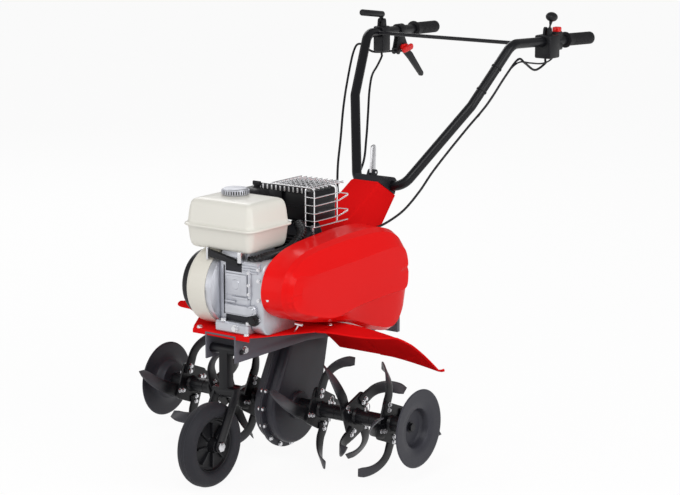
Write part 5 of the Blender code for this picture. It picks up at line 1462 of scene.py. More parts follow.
@dataclass
class Chassis:
    """Frame, deck, fenders, drag bar, column and saddle."""

    top: float = 0.360
    sheet: float = 0.0033
    front: float = -0.255
    front_half: float = 0.084
    flare_y: float = -0.112
    half: float = 0.172
    slot_half: float = 0.050
    slot_front: float = -0.012
    outer: float = 0.340
    rear: float = 0.150
    drop: float = 0.108
    curve: float = 1.25
    slope: float = 0.016
    slope_curve: float = 1.4
    level: float = 0.20025
    slant: float = 0.050
    corner: float = 0.095
    lip: float = 0.012
    bead: float = 0.0024
    deck_bolts: Outline = field(default_factory=lambda: [(-0.070, -0.245), (0.070, -0.245), (0.164, -0.048)])

    def build(self) -> None:
        """Build the sheet metal, round the heavy parts and set the bolts."""
        self._deck()
        for side, name in ((1, "left_fender"), (-1, "right_fender")):
            self._fender(name, side)
        dress_copy("main_frame", GREY, Body.CHASSIS, 0.0012)
        dress_copy("drag_bar", BLACK, Body.SPUR, 0.0012)
        dress_copy("handle_column", SHADED_RED, Body.CHASSIS, 0.0012)
        dress_copy("handle_saddle", DARK_CAST, Body.CHASSIS, 0.0014)
        dress_copy("clamp_lever", ZINC, Body.CLAMP, 0.0012, 3)
        self._bolts()

    def _bolts(self) -> None:
        """Bolts of frame, hitch and deck, and the T-pin in front of the belt cover."""
        heads = []
        for side in (1, -1):
            sides = [(side * 0.0448, y, 0.318) for y in (-0.222, 0.05, 0.095)]
            heads.append(Repeats.bolt_heads(sides, (side, 0.0, 0.0), 0.0075, 0.006, ZINC))
        hitch = [(x, 0.3728, 0.272) for x in (-0.062, 0.062)]
        heads.append(Repeats.bolt_heads(hitch, BACK, 0.0080, 0.006, ZINC))
        deck = [(x, y, self.top - 0.0002) for x, y in self.deck_bolts]
        heads.append(Repeats.bolt_heads(deck, UP, 0.0060, 0.005, ZINC))
        pin = Shop.rod((0.136, -0.150, self.top - 0.001), (0.150, -0.150, 0.381), 0.0022, 16)
        grip = Shop.rod((0.141, -0.156, 0.383), (0.159, -0.147, 0.3795), 0.0042, 20, 0.0015)
        fasten("frame_bolts", Body.CHASSIS, *heads, pin, grip)

    def _height(self, x: float, y: float) -> float:
        """Top of the sheet.

        Args:
            x: Place across.
            y: Place along.

        Returns:
            The height.
        """
        share = max(0.0, (y - self.slot_front) / (self.rear - self.slot_front))
        outward = max(0.0, (abs(x) - self.level) / (self.outer - self.level))
        return self.top - self.drop * share ** self.curve - self.slope * outward ** self.slope_curve

    def _sheet(self, grid: list[list[Place]], mirrored: bool) -> Piece:
        """Thick sheet over a grid of points, top side up.

        Args:
            grid: Rows of points.
            mirrored: Whether it is repeated on the other side.

        Returns:
            The sheet.
        """
        builder = bmesh.new()
        rows = [[builder.verts.new(point) for point in row] for row in grid]
        for near, far in zip(rows, rows[1:]):
            for index in range(len(near) - 1):
                builder.faces.new((near[index], near[index + 1], far[index + 1], far[index]))
        if mirrored:
            copy = bmesh.ops.duplicate(builder, geom=builder.faces[:])
            verts = [item for item in copy["geom"] if isinstance(item, bmesh.types.BMVert)]
            bmesh.ops.scale(builder, vec=(-1.0, 1.0, 1.0), verts=verts)
            faces = [item for item in copy["geom"] if isinstance(item, bmesh.types.BMFace)]
            bmesh.ops.reverse_faces(builder, faces=faces)
        builder.normal_update()
        if sum(face.normal.z for face in builder.faces) < 0.0:
            bmesh.ops.reverse_faces(builder, faces=builder.faces[:])
        obj = Shop.mesh("sheet", builder, outward=False)
        return Shop.rounded(Shop.thickened(obj, self.sheet), 0.0008, 2, 50.0)

    def _deck(self) -> None:
        """Deck plate with a turned-down front edge."""
        front, narrow, top = self.front, self.front_half, self.top
        lines = [(front, narrow, top - self.lip), (front, narrow, top - 0.003), (front + 0.003, narrow, top)]
        for step in range(1, 9):
            share = step / 8
            y = front + (self.flare_y - front) * share
            lines.append((y, narrow + (self.half - narrow) * share, top))
        lines += [(self.slot_front, self.half, top)]
        ahead = [[(0.0, y, z), (self.slot_half, y, z), (edge, y, z)] for y, edge, z in lines]
        rear = []
        for step in range(0, 25):
            y = self.slot_front + (self.rear - self.slot_front) * step / 24
            rear.append([(x, y, self._height(x, y)) for x in (self.slot_half, self.half)])
        pieces = [self._sheet(ahead, True), self._sheet(rear, True)]
        stand_in("deck_plate", SHADED_RED, Body.CHASSIS, *pieces)

    def _fender(self, name: str, side: int) -> None:
        """Fender that bends down behind, with a rolled edge.

        Args:
            name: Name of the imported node.
            side: 1 for left, -1 for right.
        """
        inner, columns, parts = self.half + FIT, 24, 28
        grid = []
        for step in range(columns + 1):
            share = step / columns
            x = side * (inner + (self.outer - inner) * share)
            front = self.flare_y + self.slant * share + self.corner * share ** 5
            rows = [front + (self.rear - front) * part / parts for part in range(parts + 1)]
            grid.append([(x, y, self._height(x, y)) for y in rows])
        edge = [row[0] for row in grid] + grid[-1][1:] + [row[-1] for row in reversed(grid[:-1])]
        rolled = [(x, y, z - self.sheet / 2) for x, y, z in edge]
        bead = Shop.tube(rolled, self.bead, 3)
        corner = Vector(rolled[columns + parts])
        offsets = ((0.0, 0.0, 0.0), (side * 0.008, 0.001, 0.0005), (side * 0.015, 0.002, 0.003))
        curl = Shop.swept(
            [corner + Vector(offset) for offset in offsets], [self.bead, self.bead * 1.3, self.bead * 1.5],
        )
        stand_in(name, SHADED_RED, Body.CHASSIS, self._sheet(grid, False), bead, curl)


@dataclass
class Engine:
    """Everything bolted to the crankcase except the tank."""

    crank: tuple[float, float] = (-0.178, 0.455)
    fan_radius: float = 0.092
    fan_face: float = 0.095
    fan_eye: float = 0.066
    fan_wall: float = 0.0025
    fan_back: float = 0.0353
    fan_rounding: float = 0.014
    fan_hollow: float = 0.0115
    recoil_radius: float = 0.078
    recoil_depth: float = 0.030
    muffler_low: Place = (-0.016, -0.016, 0.590)
    muffler_high: Place = (0.092, 0.086, 0.666)
    stub_y: float = 0.006
    filter_low: Place = (-0.130, -0.060, 0.561)
    filter_high: Place = (-0.037, 0.045, 0.660)
    guard_gap: float = 0.011
    guard_wire: float = 0.0016
    guard_ladder: float = 0.077
    guard_third: float = 0.064
    guard_levels: tuple[float, ...] = (0.6544, 0.6353, 0.6161, 0.5979, 0.5840)
    guard_free_end: float = 0.113
    casting_front: float = -0.235
    boss_depth: float = 0.004
    pads: tuple[tuple[float, ...], ...] = (
        (0.002, 0.4500, 0.066, 0.5010, 0.0040, 0.0022), (0.006, 0.4560, 0.050, 0.4950, 0.0048, 0.0012, 0.0),
        (0.002, 0.4320, 0.032, 0.4368, 0.0055, 0.0014), (0.020, 0.4425, 0.070, 0.4478, 0.0060, 0.0014),
        (0.002, 0.4050, 0.084, 0.4285, 0.0075, 0.0040), (0.070, 0.4450, 0.079, 0.5200, 0.0065, 0.0030),
    )
    bosses: tuple[tuple[float, float, float, float, int, float], ...] = (
        (0.083, 0.4196, 0.0100, 0.0135, 56, 0.0022), (0.083, 0.4196, 0.0115, 0.0080, 40, 0.0012),
        (0.034, 0.4760, 0.0062, 0.0120, 48, 0.0015),
    )
    # Thin dark strips that stand on the casting's face: painted shade for the gaps and recesses between its
    # panels.
    painted_shade_strips: tuple[tuple[float, ...], ...] = (
        (-0.0045, 0.4020, -0.0005, 0.5180, 0.0006, 0.0005), (0.002, 0.5050, 0.050, 0.5270, 0.0006, 0.0005),
        (0.002, 0.3880, 0.086, 0.4020, 0.0004, 0.0003), (0.086, 0.4350, 0.091, 0.4900, 0.0004, 0.0003),
    )
    hose_radius: float = 0.0108
    hose_pitch: float = 0.0080
    hose_wave: float = 0.0018
    hose_route: tuple[Point, ...] = (
        (0.070, -0.045, 0.592), (0.088, -0.058, 0.580), (0.096, -0.074, 0.5685), (0.097, -0.096, 0.5540),
        (0.096, -0.124, 0.5440), (0.092, -0.170, 0.5400), (0.082, -0.212, 0.5350), (0.060, -0.222, 0.5300),
    )

    def build(self) -> None:
        """Build the engine's outside."""
        self._castings()
        self._front_face()
        self._under_tank()
        self._hose()
        self._starter()
        self._air_cleaner()
        self._muffler()

    def _castings(self) -> None:
        """Crankcase, its side cover, cylinder, carburettor and oil filler cap."""
        dress_copy("crankcase", CAST, Body.CHASSIS, 0.0016, 3)
        dress_copy("crankcase_cover", CAST, Body.CHASSIS, 0.0014, 3)
        dress_copy("cylinder", DARK_CAST, Body.CHASSIS, 0.0007)
        dress_copy("carburettor", CAST, Body.CHASSIS, 0.0012)
        dress_copy("oil_filler_cap", PLASTIC, Body.OIL_CAP, 0.0008)

    def _pad(self, x0: float, z0: float, x1: float, z1: float, rise: float, bevel: float,
             depth: float = 0.004) -> Piece:
        """Block that stands off the crankcase's front by a rise and reaches into it by a depth."""
        face = self.casting_front
        return Shop.block((x0, face - rise, z0), (x1, face + depth, z1), bevel)

    def _front_face(self) -> None:
        """Panels, ribs, bosses, thin dark strips of painted shade and bolts on the crankcase's front."""
        face = self.casting_front
        raised = [self._pad(*pad) for pad in self.pads]
        for x, z, rise, radius, sides, bevel in self.bosses:
            ends = (x, face + self.boss_depth, z), (x, face - rise, z)
            raised.append(Shop.rod(*ends, radius, sides, bevel))
        dress("crankcase_front", CAST, Body.CHASSIS, *raised)
        # Painted shade: thin dark strips where the gaps and recesses between the panels fall in shadow.
        sunk = [self._pad(*hollow) for hollow in self.painted_shade_strips]
        dress("crankcase_painted_shade", DARK_CAST, Body.CHASSIS, *sunk)
        rows = (
            ([(0.0745, face - 0.0062, z) for z in (0.4575, 0.4787, 0.5080)], FRONT, 0.0036, 0.0034),
            ([(0.1015, face - 0.0036, z) for z in (0.400, 0.446, 0.492, 0.5186)], FRONT, 0.0042, 0.0040),
            ([(x, -0.2425, 0.3862) for x in (0.0, 0.0734)], UP, 0.0065, 0.0060),
            ([(0.040, -0.2489, 0.3740)], FRONT, 0.0070, 0.0070),
        )
        fasten("engine_bolts", Body.CHASSIS, *(Repeats.bolt_heads(*row, ZINC) for row in rows))

    def _under_tank(self) -> None:
        """Tank posts, their black stay and the ribbed block beside it."""
        face = self.casting_front
        posts = [
            Shop.block((-0.0485, face - 0.011, 0.5260), (-0.0425, face, 0.5560), 0.0012),
            Shop.block((0.0440, face - 0.011, 0.5280), (0.0550, face + 0.010, 0.5550), 0.0020),
        ]
        dress("tank_posts", ZINC, Body.CHASSIS, *posts)
        stay = [
            (x, face - 0.009 + depth, z) for depth in (0.0, 0.012)
            for x, z in ((-0.0424, 0.5500), (-0.0424, 0.5330), (0.0438, 0.5215), (0.0438, 0.5320))
        ]
        dress("tank_stay", BLACK, Body.CHASSIS, Shop.rounded(Shop.loft([stay[:4], stay[4:]]), 0.0012))
        ribbed = [Shop.block((0.056, face - 0.004, 0.5060), (0.098, face + 0.030, 0.5330), 0.0020)]
        for step in range(4):
            z = 0.5085 + 0.0066 * step
            low, high = (0.055, face - 0.0075, z), (0.100, face + 0.028, z + 0.0026)
            ribbed.append(Shop.block(low, high, 0.0008, 2))
        dress("valve_block", CAST, Body.CHASSIS, *ribbed)

    def _hose(self) -> None:
        """Corrugated hose from the air cleaner round the tank to the crankcase."""
        path = Curves.smooth(self.hose_route, 40)
        steps = [(Vector(b) - Vector(a)).length for a, b in zip(path, path[1:])]
        run = [sum(steps[:index]) for index in range(len(path))]
        radii = [self.hose_radius + self.hose_wave * cos(2 * pi * length / self.hose_pitch) for length in run]
        dress("breather_hose", HOSE, Body.CHASSIS, Shop.swept(path, radii), angle=70.0)

    def _starter(self) -> None:
        """Fan shroud, ribbed recoil cover and the pull handle."""
        place = (0.0, *self.crank)
        face, outer, wall = self.fan_face, self.fan_radius, self.fan_wall
        profile = [(self.fan_eye, face - wall), (self.fan_eye, face), (outer - 0.016, face)]
        profile += self._shoulder(self.fan_rounding)
        profile += [(outer, self.fan_back), (outer - wall, self.fan_back)]
        profile += reversed(self._shoulder(self.fan_hollow))
        shroud = Shop.turned(profile, place, RIGHT, 112, ring=True)
        stand_in("fan_cover", SHROUD, Body.CHASSIS, shroud, angle=40.0)
        back = face + FIT
        top, radius = back + self.recoil_depth, self.recoil_radius
        profile = [
            (0.0, top), (0.020, top), (0.022, top - 0.003), (0.043, top - 0.0045), (0.056, top - 0.006),
            (0.067, top - 0.0065), (0.0735, top - 0.0085), (0.0768, top - 0.0125), (radius, top - 0.0180),
            (radius, back), (radius - 0.003, back), (0.070, top - 0.019), (0.056, top - 0.009),
            (0.0, top - 0.006),
        ]
        cover = Shop.turned(profile, place, RIGHT, 96)
        stand_in("recoil_cover", PLASTIC, Body.CHASSIS, cover, angle=40.0)
        base = (-top + 0.0052, *self.crank)
        ribs = Repeats.ring(22, 0.048, (0.022, 0.0032, 0.004), base, RIGHT, PLASTIC)
        dress("recoil_ribs", PLASTIC, Body.CHASSIS, ribs, angle=HEAD_ANGLE)
        dress_copy("recoil_handle", PLASTIC, Body.STARTER, 0.0010)

    def _shoulder(self, radius: float) -> Outline:
        """Quarter round from the shroud's face to its side.

        Args:
            radius: Radius of the rounding.

        Returns:
            Pairs of radius and height.
        """
        out, back = self.fan_radius - self.fan_rounding, self.fan_face - self.fan_rounding
        angles = [pi / 2 * step / 10 for step in range(11)]
        return [(out + radius * sin(angle), back + radius * cos(angle)) for angle in angles]

    def _air_cleaner(self) -> None:
        """Air cleaner with a clipped lid and a wing nut."""
        low, high = self.filter_low, self.filter_high
        levels = [
            (0.004, low[2]), (0.003, low[2] + 0.002), (0.003, low[2] + 0.029), (0.0, low[2] + 0.030),
            (0.0, low[2] + 0.037), (0.002, low[2] + 0.039), (0.003, low[2] + 0.046), (0.006, high[2] - 0.028),
            (0.009, high[2] - 0.016), (0.014, high[2] - 0.008), (0.022, high[2] - 0.002), (0.032, high[2]),
        ]
        body = Shop.loft(Curves.slabs(low, high, levels, 0.026))
        x, y = (low[0] + high[0]) / 2, (low[1] + high[1]) / 2
        stem = Shop.rod((x, y, high[2] - 0.003), (x, y, 0.667), 0.0075, 32, 0.001)
        wings = Shop.block((x - 0.0120, y - 0.0030, 0.663), (x + 0.0120, y + 0.0030, 0.674), 0.0022)
        stand_in("air_cleaner", PLASTIC, Body.CHASSIS, body, stem, wings)

    def _muffler(self) -> None:
        """Muffler with a pressed seam, and its wire guard."""
        low, high = self.muffler_low, self.muffler_high
        middle = (low[2] + high[2]) / 2
        seam = 0.0012
        levels = [
            (0.008, low[2]), (0.003, low[2] + 0.002), (seam, low[2] + 0.006), (seam, middle - 0.0025),
            (0.0, middle - 0.002), (0.0, middle + 0.002), (seam, middle + 0.0025), (seam, high[2] - 0.006),
            (0.003, high[2] - 0.002), (0.008, high[2]),
        ]
        can = Shop.loft(Curves.slabs(low, high, levels, 0.018))
        centre = (low[0] + high[0]) / 2
        stub = Shop.rod((centre, self.stub_y, low[2] + 0.003), (centre, self.stub_y, 0.578), 0.014, 40)
        stand_in("muffler", BLACK, Body.CHASSIS, can, stub)
        pipe = Curves.bent([(0.050, 0.036, 0.592), (0.054, 0.030, 0.528), (0.050, -0.030, 0.505)], 0.018, 10)
        dress("exhaust_pipe", ZINC, Body.CHASSIS, Shop.tube(pipe, 0.0100, 7))
        self._guard()

    def _guard(self) -> None:
        """Wire cage around the muffler: ladder in front, hairpin ends behind, a dense top."""
        low, high, gap, wire = self.muffler_low, self.muffler_high, self.guard_gap, self.guard_wire
        x0, x1, y0, y1 = low[0] - gap, high[0] + gap, low[1] - gap, high[1] + gap
        top, foot, ladder, third = high[2] + gap, self.guard_levels[-1], self.guard_ladder, self.guard_third
        shelf = top - 2 * wire
        paths = [
            ([(ladder, y0, foot), (ladder, y0, top), (ladder, y1, top)], 0.010),
            ([(x1, y0, foot), (x1, y0, top), (x0, y0, top)], 0.010),
            ([(x1, third, foot), (x1, third, shelf), (x0, third, shelf)], 0.010),
        ]
        levels, end = self.guard_levels, self.guard_free_end
        for first, second in zip(levels[0:4:2], levels[1:4:2]):
            start, middle = (ladder, y0 - wire, first), (first + second) / 2
            hairpin = [start, (x1 + wire, y0 - wire, first), (x1 + wire, third + 0.006, first)]
            hairpin += [(x1 + wire, end, middle), (x1 + wire, third + 0.006, second)]
            hairpin += [(x1 + wire, y0 - wire, second), (ladder, y0 - wire, second)]
            paths.append((hairpin, 0.0022))
        foot_end = [(ladder, y0 - wire, foot), (x1 + wire, y0 - wire, foot), (x1 + wire, end - 0.008, foot)]
        paths.append((foot_end, 0.0030))
        wires = [Shop.tube(Curves.bent(path, bend, 6), wire, 3) for path, bend in paths]
        for step in range(9):
            x = x0 + (x1 - 0.006 - x0) * step / 8
            wires.append(Shop.tube([(x, y0, top), (x, y1, top)], wire, 3))
        for step in range(8):
            y = y0 + 0.008 + (y1 - y0 - 0.008) * step / 7
            wires.append(Shop.tube([(x0, y, shelf), (x1 - 0.004, y, shelf)], wire, 3))
        for y in (y0 + 0.03, third):
            wires.append(Shop.tube([(high[0] - 0.002, y, levels[2]), (x1 + wire, y, levels[2])], wire, 3))
        stand_in("muffler_guard", WIRE, Body.CHASSIS, *wires, angle=60.0)
        self._shield(y0, top)

    def _shield(self, y0: float, top: float) -> None:
        """Slotted strip and baffle behind the guard's front edge, and the post under its ladder.

        Args:
            y0: Front of the guard.
            top: Top of the guard.
        """
        strip = Shop.block((-0.058, y0 + 0.0022, top - 0.0165), (0.072, y0 + 0.0042, top - 0.0022), 0.0006)
        baffle = Shop.block((-0.0362, y0 + 0.0030, 0.6000), (0.0030, y0 + 0.0050, top - 0.0120), 0.0006)
        dress("shield_strip", BLACK, Body.CHASSIS, strip, baffle)
        bars = []
        for step in range(10):
            x = -0.052 + 0.0128 * step
            low, high = (x, y0 + 0.0006, top - 0.0155), (x + 0.0042, y0 + 0.0026, top - 0.0032)
            bars.append(Shop.block(low, high, 0.0008))
        dress("shield_bars", ZINC, Body.CHASSIS, *bars)
        post = []
        for low, high, radius, sides in ((0.5480, 0.5860, 0.0046, 32), (0.5600, 0.5680, 0.0068, 6)):
            ends = (0.0900, y0 + 0.010, low), (0.0900, y0 + 0.010, high)
            post.append(Shop.rod(*ends, radius, sides, 0.0008))
        dress("guard_post", ZINC, Body.CHASSIS, *post)


@dataclass
class Tank:
    """Fuel tank of two pressings, with its cap."""

    low: Place = (-0.118, -0.256, 0.550)
    high: Place = (0.094, -0.086, 0.666)
    seam: float = 0.605
    flange: float = 0.005
    corner: float = 0.028
    cap: tuple[float, float] = (-0.037, -0.148)
    cap_radius: float = 0.034

    def build(self) -> None:
        """Build the tank and its cap."""
        low, high = self.low[2], self.high[2]
        under, over = self.seam - self.flange / 2, self.seam + self.flange / 2
        levels = [
            (0.0300, low), (0.0235, low + 0.0008), (0.0190, low + 0.0035), (0.0155, low + 0.0085),
            (0.0120, low + 0.0200), (0.0085, under - 0.006), (0.0066, under - 0.0015),
            (0.0048, under - 0.0003), (0.0008, under), (0.0, under + 0.0006), (0.0, over - 0.0006),
            (0.0008, over), (0.0048, over + 0.0003), (0.0066, over + 0.0015), (0.0085, over + 0.008),
            (0.0110, high - 0.0300), (0.0135, high - 0.0180), (0.0165, high - 0.0095),
            (0.0205, high - 0.0040), (0.0260, high - 0.0012), (0.0330, high - 0.0002), (0.0500, high),
        ]
        tank = Shop.loft(Curves.slabs(self.low, self.high, levels, self.corner))
        stand_in("fuel_tank", CREAM, Body.CHASSIS, tank, angle=60.0)
        self._cap(high)

    def _cap(self, height: float) -> None:
        """Knurled cap on the tank, with a thin dark ring behind its knurls as painted shade in their grooves.

        Args:
            height: Top of the tank.
        """
        base, radius = (*self.cap, height + FIT), self.cap_radius
        profile = [
            (0.0, 0.016), (radius - 0.010, 0.016), (radius - 0.006, 0.0155), (radius - 0.0035, 0.014),
            (radius - 0.0028, 0.012), (radius - 0.0028, 0.003), (radius - 0.005, 0.0), (0.0, 0.0),
        ]
        cap = Shop.turned(profile, base, UP, 96)
        middle = (*self.cap, height + 0.0079)
        knurl = Repeats.ring(34, radius - 0.0025, (0.003, 0.0030, 0.0085), middle, UP, CAST)
        stand_in("fuel_cap", CAST, Body.CAP, cap, knurl)
        # Painted shade: a thin dark ring behind the knurls darkens the grooves between them.
        inner, outer = radius - 0.0026, radius - 0.0022
        shade = [(inner, 0.0115), (outer, 0.0113), (outer, 0.0035), (inner, 0.0033)]
        groove_shade = Shop.turned(shade, base, UP, 96, ring=True)
        dress("fuel_cap_groove_shade", PLASTIC, Body.CAP, groove_shade)


@dataclass
class BeltCover:
    """Red shell over the belt: a wall, a sloping upper facet, a flat face and a sunk lower panel."""

    back: float = 0.1133
    depth: float = 0.087
    swell: float = 0.014
    wall: float = 0.0025
    outline: Outline = field(default_factory=lambda: [
        (-0.244, 0.470), (-0.222, 0.520), (-0.170, 0.549), (-0.090, 0.563), (0.040, 0.571), (0.140, 0.566),
        (0.203, 0.540), (0.227, 0.490), (0.230, 0.420), (0.222, 0.350), (0.180, 0.309), (0.100, 0.324),
        (0.010, 0.358), (-0.080, 0.376), (-0.170, 0.396), (-0.228, 0.426),
    ])
    crease: Outline = field(default_factory=lambda: [
        (-0.231, 0.470), (-0.213, 0.506), (-0.165, 0.504), (-0.090, 0.507), (0.040, 0.513), (0.138, 0.518),
        (0.190, 0.512), (0.210, 0.480), (0.212, 0.430), (0.202, 0.411), (0.170, 0.409), (0.100, 0.4075),
        (0.010, 0.402), (-0.080, 0.392), (-0.160, 0.410), (-0.218, 0.433),
    ])
    spine: Outline = field(default_factory=lambda: [(-0.160, 0.470), (0.130, 0.445)])
    lower: float = 0.45
    nose_y: float = -0.150
    nose_run: float = 0.080
    nose_sink: float = 0.0070

    def build(self) -> None:
        """Build the shell and the screw at its nose."""
        shell = Shop.thickened(self._shell(), self.wall)
        stand_in("belt_cover", RED, Body.CHASSIS, shell, angle=13.0)
        nose = Repeats.bolt_heads([(0.131, -0.2405, 0.452)], FRONT, 0.0042, 0.0040, ZINC)
        fasten("belt_cover_screw", Body.CHASSIS, nose)

    def _shell(self) -> Piece:
        """Outer face of the shell, open at the back.

        Returns:
            The sheet, without its wall.
        """
        rim, edge = ([self._inset(point, share) for point in self.outline] for share in (0.015, 0.075))
        inner, heart = ([self._inset(point, share) for point in self.crease] for share in (0.35, 0.60))
        step = [self._below(point) for point in self.crease]
        face = self.back + self.depth
        rings = [
            self._ring(self.outline, lambda y, z: self.back), self._ring(rim, lambda y, z: face - 0.030),
            self._ring(edge, lambda y, z: face - 0.0185), self._ring(edge, lambda y, z: face - 0.0165, 0.010),
            self._ring(step, lambda y, z: self._facet(y, z, 0.0042)),
            self._ring(self.crease, lambda y, z: self._facet(y, z, 0.0)),
            self._ring(inner, lambda y, z: face - 0.0004), self._ring(heart, lambda y, z: face),
        ]
        builder = bmesh.new()
        builder.faces.new(Shop.skin(builder, rings)[-1])
        builder.normal_update()
        if max(builder.faces, key=lambda item: item.calc_center_median().x).normal.x < 0.0:
            bmesh.ops.reverse_faces(builder, faces=builder.faces[:])
        return Shop.mesh("shell", builder, outward=False)

    def _facet(self, y: float, z: float, sink: float) -> float:
        """How far out the face's edge lies: lower at the nose, and sunk below the lower crease."""
        nose = min(1.0, max(0.0, (self.nose_y - y) / self.nose_run))
        return self.back + self.depth - self.nose_sink * nose - (sink if z < self.lower else 0.0)

    def _below(self, point: Point) -> tuple[float, float]:
        """A crease point moved just past the crease, towards the outline."""
        y, z = point
        return (y, z - 0.0030) if z < self.lower else (y, z + 0.0008)

    def _inset(self, point: Point, share: float) -> tuple[float, float]:
        """A point drawn in towards the spine.

        Args:
            point: The point.
            share: How far, from 0 to 1.

        Returns:
            The moved point.
        """
        start, end = Vector(self.spine[0]), Vector(self.spine[1])
        axis, edge = end - start, Vector(point)
        along = min(1.0, max(0.0, (edge - start).dot(axis) / axis.length_squared))
        return tuple(edge.lerp(start + axis * along, share))

    def _ring(self, outline: Outline, out: Callable[[float, float], float],
              inset: float = 0.0) -> list[Place]:
        """Smooth loop through an outline, at the distance that a rule gives.

        Args:
            outline: Points of the loop.
            out: Rule for the distance.
            inset: How far the loop is drawn in.

        Returns:
            The loop.
        """
        loop = []
        for point in Curves.smooth(outline, 10, closed=True):
            y, z = self._inset(point, inset)
            x = out(y, z)
            loop.append((x + self.swell * (y - self.outline[0][0]) * (x - self.back) / self.depth, y, z))
        return loop


@dataclass
class Handlebar:
    """Bent pipe, grips, controls and cables."""

    pivot: tuple[float, float] = (0.388, 0.618)
    radius: float = 0.0125
    bend: float = 0.045
    lower: float = 0.070
    knee: Place = (0.180, 0.533, 0.815)
    upper: Place = (0.2240, 0.652, 0.9635)
    tip: Place = (0.2473, 1.0071, 0.9508)
    cross_y: float = 0.690
    cross_radius: float = 0.005
    grip_y: float = 0.8896
    grip_radius: float = 0.0165
    grip_bore: float = 0.0128
    grip_ribs: int = 12
    knob: Place = (0.2344, 0.8300, 1.0195)
    knob_radius: float = 0.0132
    knob_half: float = 0.0125
    knob_length: float = 1.65
    knob_tilt: float = radians(-9)
    cable_radius: float = 0.003
    wire_radius: float = 0.0021
    tie_shares: tuple[float, ...] = (0.25, 0.62)
    throttle_route: tuple[Point, ...] = (
        (0.235, 0.800, 0.9145), (0.235, 0.800, 0.908), (0.235, 0.799, 0.901), (0.234, 0.750, 0.889),
        (0.234, 0.700, 0.912), (0.233, 0.668, 0.924), (0.222, 0.625, 0.884), (0.203, 0.572, 0.818),
        (0.176, 0.521, 0.760), (0.146, 0.476, 0.700), (0.126, 0.437, 0.652), (0.112, 0.402, 0.608),
        (0.098, 0.352, 0.566), (0.080, 0.300, 0.540), (0.062, 0.276, 0.530), (0.053, 0.276, 0.530),
        (0.0455, 0.276, 0.530),
    )
    clutch_route: tuple[Point, ...] = (
        (-0.234, 0.7925, 0.904), (-0.234, 0.786, 0.904), (-0.234, 0.779, 0.904), (-0.262, 0.730, 0.905),
        (-0.269, 0.680, 0.930), (-0.256, 0.632, 0.915), (-0.222, 0.556, 0.845), (-0.190, 0.494, 0.783),
        (-0.152, 0.430, 0.716), (-0.124, 0.380, 0.660), (-0.104, 0.350, 0.612), (-0.080, 0.322, 0.578),
        (-0.062, 0.298, 0.565), (-0.053, 0.298, 0.565), (-0.0455, 0.298, 0.565),
    )
    shift_route: tuple[Point, ...] = (
        (-0.225, 0.718, 0.9085), (-0.225, 0.718, 0.902), (-0.225, 0.718, 0.895), (-0.212, 0.680, 0.876),
        (-0.193, 0.628, 0.856), (-0.169, 0.582, 0.820), (-0.140, 0.535, 0.768), (-0.112, 0.488, 0.712),
        (-0.096, 0.452, 0.655), (-0.097, 0.408, 0.600), (-0.090, 0.352, 0.548), (-0.064, 0.312, 0.530),
        (-0.053, 0.312, 0.530), (-0.0455, 0.312, 0.530),
    )
    wire_route: tuple[Point, ...] = (
        (0.242, 0.846, 0.948), (0.246, 0.838, 0.935), (0.248, 0.824, 0.921), (0.248, 0.797, 0.909),
        (0.246, 0.760, 0.9055), (0.242, 0.715, 0.911), (0.236, 0.670, 0.917), (0.230, 0.633, 0.9005),
        (0.222, 0.608, 0.872), (0.209, 0.574, 0.829), (0.196, 0.540, 0.789),
    )

    def build(self) -> None:
        """Build the bar, its grips, its controls and its cables."""
        half = [self.tip, self.upper, self.knee, (self.lower, *self.pivot)]
        corners = half + [(-x, y, z) for x, y, z in reversed(half)]
        pipe = Shop.tube(Curves.bent(corners, self.bend), self.radius, 8)
        end = self._place(self.cross_y, 1)
        cross = Shop.rod((-end.x, end.y, end.z), tuple(end), self.cross_radius, 24)
        stand_in("handlebar", BLACK, Body.BAR, pipe, cross)
        for side, name in ((1, "left_grip"), (-1, "right_grip")):
            self._grip(name, side)
        self._controls()
        self._throttle()
        self._cables()
        self._stop_wire()

    def _controls(self) -> None:
        """Control boxes, clutch lever with its lock, shift lever and stop button."""
        for node in ("clutch_bracket", "throttle_box", "shift_box"):
            dress_copy(node, PLASTIC, Body.BAR, 0.0010)
        dress_copy("clutch_lever", PLASTIC, Body.CLUTCH, 0.0016, 3)
        outline = Curves.band((0.809, 0.9050), 0.0078, (0.840, 0.9120), 0.0085)
        pad = Shop.plate([outline], -0.2168, -0.2092, 0.0026)
        stand_in("clutch_lock", SIGNAL, Body.LOCK, Shop.copy("clutch_lock", 0.0010), pad)
        dress_copy("shift_lever", PLASTIC, Body.SHIFT, 0.0012)
        button = Shop.block((0.2277, 0.8435, 0.9775), (0.2467, 0.8625, 0.9920), 0.0032)
        stand_in("stop_button", SIGNAL, Body.STOP, button)

    def _throttle(self) -> None:
        """Throttle lever with an oval knob on a thin stem."""
        turns = [pi * step / 16 for step in range(17)]
        profile = [(self.knob_radius * sin(turn), -self.knob_half * cos(turn)) for turn in turns]
        head = Shop.turned(profile, self.knob, UP, 40)
        centre = Vector(self.knob)
        oval = Matrix.Rotation(self.knob_tilt, 4, "X") @ Matrix.Diagonal((1.0, self.knob_length, 1.0, 1.0))
        head.data.transform(Matrix.Translation(centre) @ oval @ Matrix.Translation(-centre))
        neck = Shop.turned(
            [(0.0, 0.0), (0.0030, 0.0), (0.0038, 0.004), (0.0060, 0.014), (0.0, 0.014)],
            (self.knob[0], 0.8235, 1.0000), (0.0, 0.30, 1.0), 32,
        )
        stand_in("throttle_lever", PLASTIC, Body.THROTTLE, head, neck)
        stem = Shop.rod((self.knob[0], 0.8180, 0.9830), (self.knob[0], 0.8240, 1.0030), 0.0024, 20)
        dress("throttle_stem", BLACK, Body.THROTTLE, stem)

